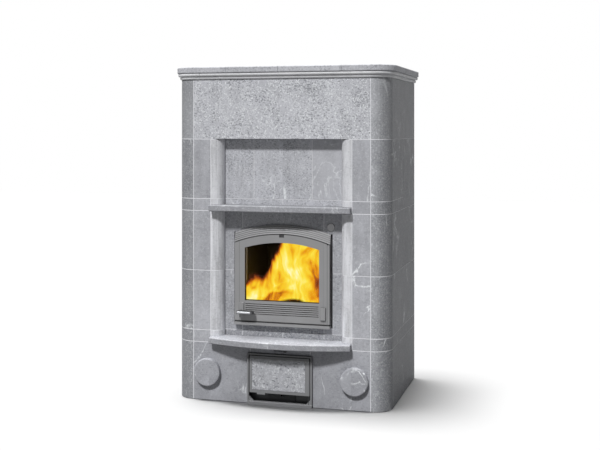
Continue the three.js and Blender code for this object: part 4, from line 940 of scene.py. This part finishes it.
log = {
    "pieces": [
        {"name": "logFront", "from": (-0.130, -0.205, 0.442), "to": (0.165, -0.190, 0.446),
         "radius": 0.042, "seed": 1},
        {"name": "logRear", "from": (-0.170, -0.060, 0.445), "to": (0.150, -0.095, 0.450),
         "radius": 0.046, "seed": 2},
        {"name": "logTop", "from": (-0.120, -0.165, 0.505), "to": (0.110, -0.075, 0.520),
         "radius": 0.036, "seed": 3},
    ],
    "around": 36,
    "along": 40,
    "split": 0.10,  # how far the three split faces go in, as a share of the radius
    "bark": 0.03,
    "taper": 0.10,
    "crackStretch": (1, 3.2, 3.2),
    "crackScale": 26.0,
    "crackFrom": (0.045, 0.0),
    "grain": {"scale": 90.0, "detail": 4.0, "stretch": (0.2, 1, 1)},
    "colours": [(0.3, (0.008, 0.007, 0.006)), (0.7, (0.045, 0.035, 0.028))],
    "glowScale": 24.0,
    "glowFrom": (0.54, 0.72),
    "glowHeights": (0.53, 0.43),  # heights over which the glow comes in, downwards
    "glow": [(0.0, (0, 0, 0)), (0.5, (0.9, 0.16, 0.01)), (1.0, (1.0, 0.55, 0.08))],
    "strength": 1.2,
    "bump": {"strength": 0.8, "distance": 0.004},
    "rough": 0.95,
}


# Charred wood: dark grain along x, cracked into cells whose edges glow in patches and low down:
# glow = edge x patch x height.
def logMaterial():
    material, tree, shader, place = shaderOf("charredWood")
    crack = cellEdge(tree, spread(tree, place, log["crackStretch"]), log["crackScale"])
    grain = noiseOf(tree, place, **log["grain"])
    patch = between(tree, noiseOf(tree, place, log["glowScale"]), *log["glowFrom"])
    low = between(tree, partsOf(tree, place)["Z"], *log["glowHeights"])
    glow = product(tree, between(tree, crack, *log["crackFrom"]), patch, low)
    setInputs(tree, shader, {
        "Base Color": rampOf(tree, grain, log["colours"]), "Roughness": log["rough"],
        "Emission Color": rampOf(tree, glow, log["glow"]), "Emission Strength": log["strength"],
        "Normal": bumpOf(tree, crack, **log["bump"])})
    return material


# Log: a tube round its axis, of radius r x (1 + split faces + bark waves) x taper, closed by end points. The
# split faces go three times round, and the bark waves 7 and 13 times.
def buildLog(spec, material):
    start, end = np.array(spec["from"]), np.array(spec["to"])
    axis = (end - start) / np.linalg.norm(end - start)
    side = np.cross(axis, (0, 0, 1.0))
    side /= np.linalg.norm(side)
    up = np.cross(side, axis)
    rows, count = log["along"], log["around"]
    angles = np.linspace(0, 2 * np.pi, count, endpoint=False)
    t, a = np.meshgrid(np.linspace(0, 1, rows), angles, indexing="ij")
    wave = log["split"] * np.cos(3 * a + spec["seed"])
    wave += log["bark"] * (np.sin(7 * a + 9 * t + spec["seed"]) + np.sin(13 * a - 14 * t))
    r = spec["radius"] * (1 + wave) * (1 - log["taper"] * np.abs(2 * t - 1) ** 6)
    points = start + (end - start) * t[..., None]
    points = points + side * (r * np.cos(a))[..., None] + up * (r * np.sin(a))[..., None]
    points = np.vstack([points.reshape(-1, 3), start, end])
    last = rows * count
    faces = gridFaces(rows, count, wrap=True)
    faces += [[last, (k + 1) % count, k] for k in range(count)]
    faces += [[last + 1, last - count + k, last - count + (k + 1) % count] for k in range(count)]
    return meshPiece(spec["name"], points, faces, material, smooth=True)


ember = {
    "halfX": 0.203,
    "y": (0.118, 0.472),  # distances behind the front
    "z": 0.4015,
    "rise": 0.020,
    "columns": 90,
    "rows": 70,
    "lumps": (0.6, 0.25, 0.15),  # level, coarse lumps and fine lumps, as shares of the rise
    "cellScale": 46.0,
    "cellFrom": (0.16, 0.0),
    "drift": {"scale": 16.0, "detail": 3.0},
    "driftFrom": (0.40, 0.60),
    "glow": [(0.0, (0.01, 0.002, 0.001)), (0.4, (0.8, 0.12, 0.01)), (0.8, (1.0, 0.45, 0.04)),
             (1.0, (1.0, 0.8, 0.3))],
    "ash": [(0.35, (0.02, 0.018, 0.017)), (0.7, (0.22, 0.21, 0.20))],
    "strength": 1.4,
}


# Embers: ash in drifts, with glow = edge of the lumps x drift.
def emberMaterial():
    material, tree, shader, place = shaderOf("emberBed")
    edge = between(tree, cellEdge(tree, place, ember["cellScale"]), *ember["cellFrom"])
    drift = noiseOf(tree, place, **ember["drift"])
    glow = product(tree, edge, between(tree, drift, *ember["driftFrom"]))
    setInputs(tree, shader, {
        "Base Color": rampOf(tree, drift, ember["ash"]), "Roughness": 1.0,
        "Emission Color": rampOf(tree, glow, ember["glow"]), "Emission Strength": ember["strength"]})
    return material


# Ember bed: a heap over the grate, z = floor + rise x dome x lumps; its rim stands on the floor. The dome is
# (1 - u^4) x (1 - v^4), and the lumps are two bent waves over x and y.
def buildEmbers():
    u, v = np.meshgrid(np.linspace(-1, 1, ember["columns"]), np.linspace(-1, 1, ember["rows"]))
    front, back = ember["y"]
    level, coarse, fine = ember["lumps"]
    x = u * ember["halfX"]
    y = stove["frontY"] + (front + back) / 2 + v * (back - front) / 2
    dome = (1 - u ** 4) * (1 - v ** 4)
    lumps = level + coarse * np.sin(61 * x + 3 * np.sin(47 * y)) + fine * np.sin(97 * y + 4 * np.sin(71 * x))
    points = np.stack([x, y, ember["z"] + ember["rise"] * dome * lumps], -1)
    faces = gridFaces(ember["rows"], ember["columns"])
    return meshPiece("emberBed", points, faces, emberMaterial(), smooth=True, closed=False)


for sheet in fire["sheets"]:
    flameSheet(sheet)
wood = logMaterial()
for spec in log["pieces"]:
    buildLog(spec, wood)
buildEmbers()
print("fire laid")

studio = {
    "floorHalf": 14.0,
    "floorPoints": 9,  # along each edge
    "floorDrop": 0.0005,
    "floorSeen": 0.82,  # colour of the floor to the camera
    "floorGiven": 0.25,  # colour of the floor for the light that it throws back
    "world": 0.17,
    "key": {"strength": 2.90, "from": (-0.17, -1.0, 1.14), "angle": 7.0},
    "soft": {"strength": 3.4, "from": (-0.12, 0.02, 1.0), "angle": 21.0},
}


# 1 for rays of the camera and for those that metal and glass send on, and 0 for the rest
def seenRays(tree):
    rays = tree.nodes.new("ShaderNodeLightPath").outputs
    sentOn = calc(tree, "MAXIMUM", rays["Is Glossy Ray"], rays["Is Transmission Ray"])
    return calc(tree, "MAXIMUM", rays["Is Camera Ray"], sentOn)


# Level floor just under the stove: pale to the camera, and darker to the light that it throws back
def buildFloor():
    half, count = studio["floorHalf"], studio["floorPoints"]
    u, v = np.meshgrid(np.linspace(-half, half, count), np.linspace(-half, half, count))
    points = np.stack([u, v, u * 0 - studio["floorDrop"]], -1).reshape(-1, 3)
    mesh = bpy.data.meshes.new("floor")
    mesh.from_pydata(points.tolist(), [], gridFaces(count, count))
    material = bpy.data.materials.new("paleFloor")
    tree = clearTree(material)
    shade = mixNumber(tree, seenRays(tree), studio["floorGiven"], studio["floorSeen"])
    surface = addNode(tree, "ShaderNodeBsdfDiffuse", {"Color": shade}).outputs["BSDF"]
    addNode(tree, "ShaderNodeOutputMaterial", {"Surface": surface})
    mesh.materials.append(material)
    floor = addObject("floor", mesh)


# White world: full white to the camera, and a weak light on everything else
def buildWorld():
    world = bpy.data.worlds.new("studio")
    bpy.context.scene.world = world
    tree = clearTree(world)
    strength = mixNumber(tree, seenRays(tree), studio["world"], 1.0)
    glow = addNode(tree, "ShaderNodeBackground", {"Color": (1, 1, 1, 1), "Strength": strength})
    addNode(tree, "ShaderNodeOutputWorld", {"Surface": glow.outputs["Background"]})


# Two suns that shine from a direction to the origin. The key lights every mesh but the floor.
def buildLights():
    for name in ("key", "soft"):
        spec = studio[name]
        light = bpy.data.lights.new(name + "Light", "SUN")
        light.energy = spec["strength"]
        light.angle = math.radians(spec["angle"])
        lamp = addObject(name + "Light", light)
        lamp.rotation_euler = Vector(spec["from"]).to_track_quat("Z", "Y").to_euler()
        if name == "key":
            lit = bpy.data.collections.new("keyReceivers")
            for thing in bpy.context.scene.objects:
                if thing.type == "MESH" and thing.name != "floor":
                    lit.objects.link(thing)
            lamp.light_linking.receiver_collection = lit


camera = {"place": (1.4713, -5.2292, 1.3757), "turn": 15.71, "lens": 61.58, "sensor": 36, "shiftY": -0.1625}


# The camera looks level, turned to the left, and its picture is shifted down.
def buildCamera():
    data = bpy.data.cameras.new("view")
    data.lens = camera["lens"]
    data.sensor_width = camera["sensor"]
    data.shift_y = camera["shiftY"]
    eye = addObject("view", data)
    eye.location = camera["place"]
    eye.rotation_euler = (math.radians(90), 0, math.radians(camera["turn"]))
    bpy.context.scene.camera = eye


buildFloor()
buildWorld()
buildLights()
buildCamera()
bpy.context.scene.view_settings.view_transform = "Standard"
print("studio set")
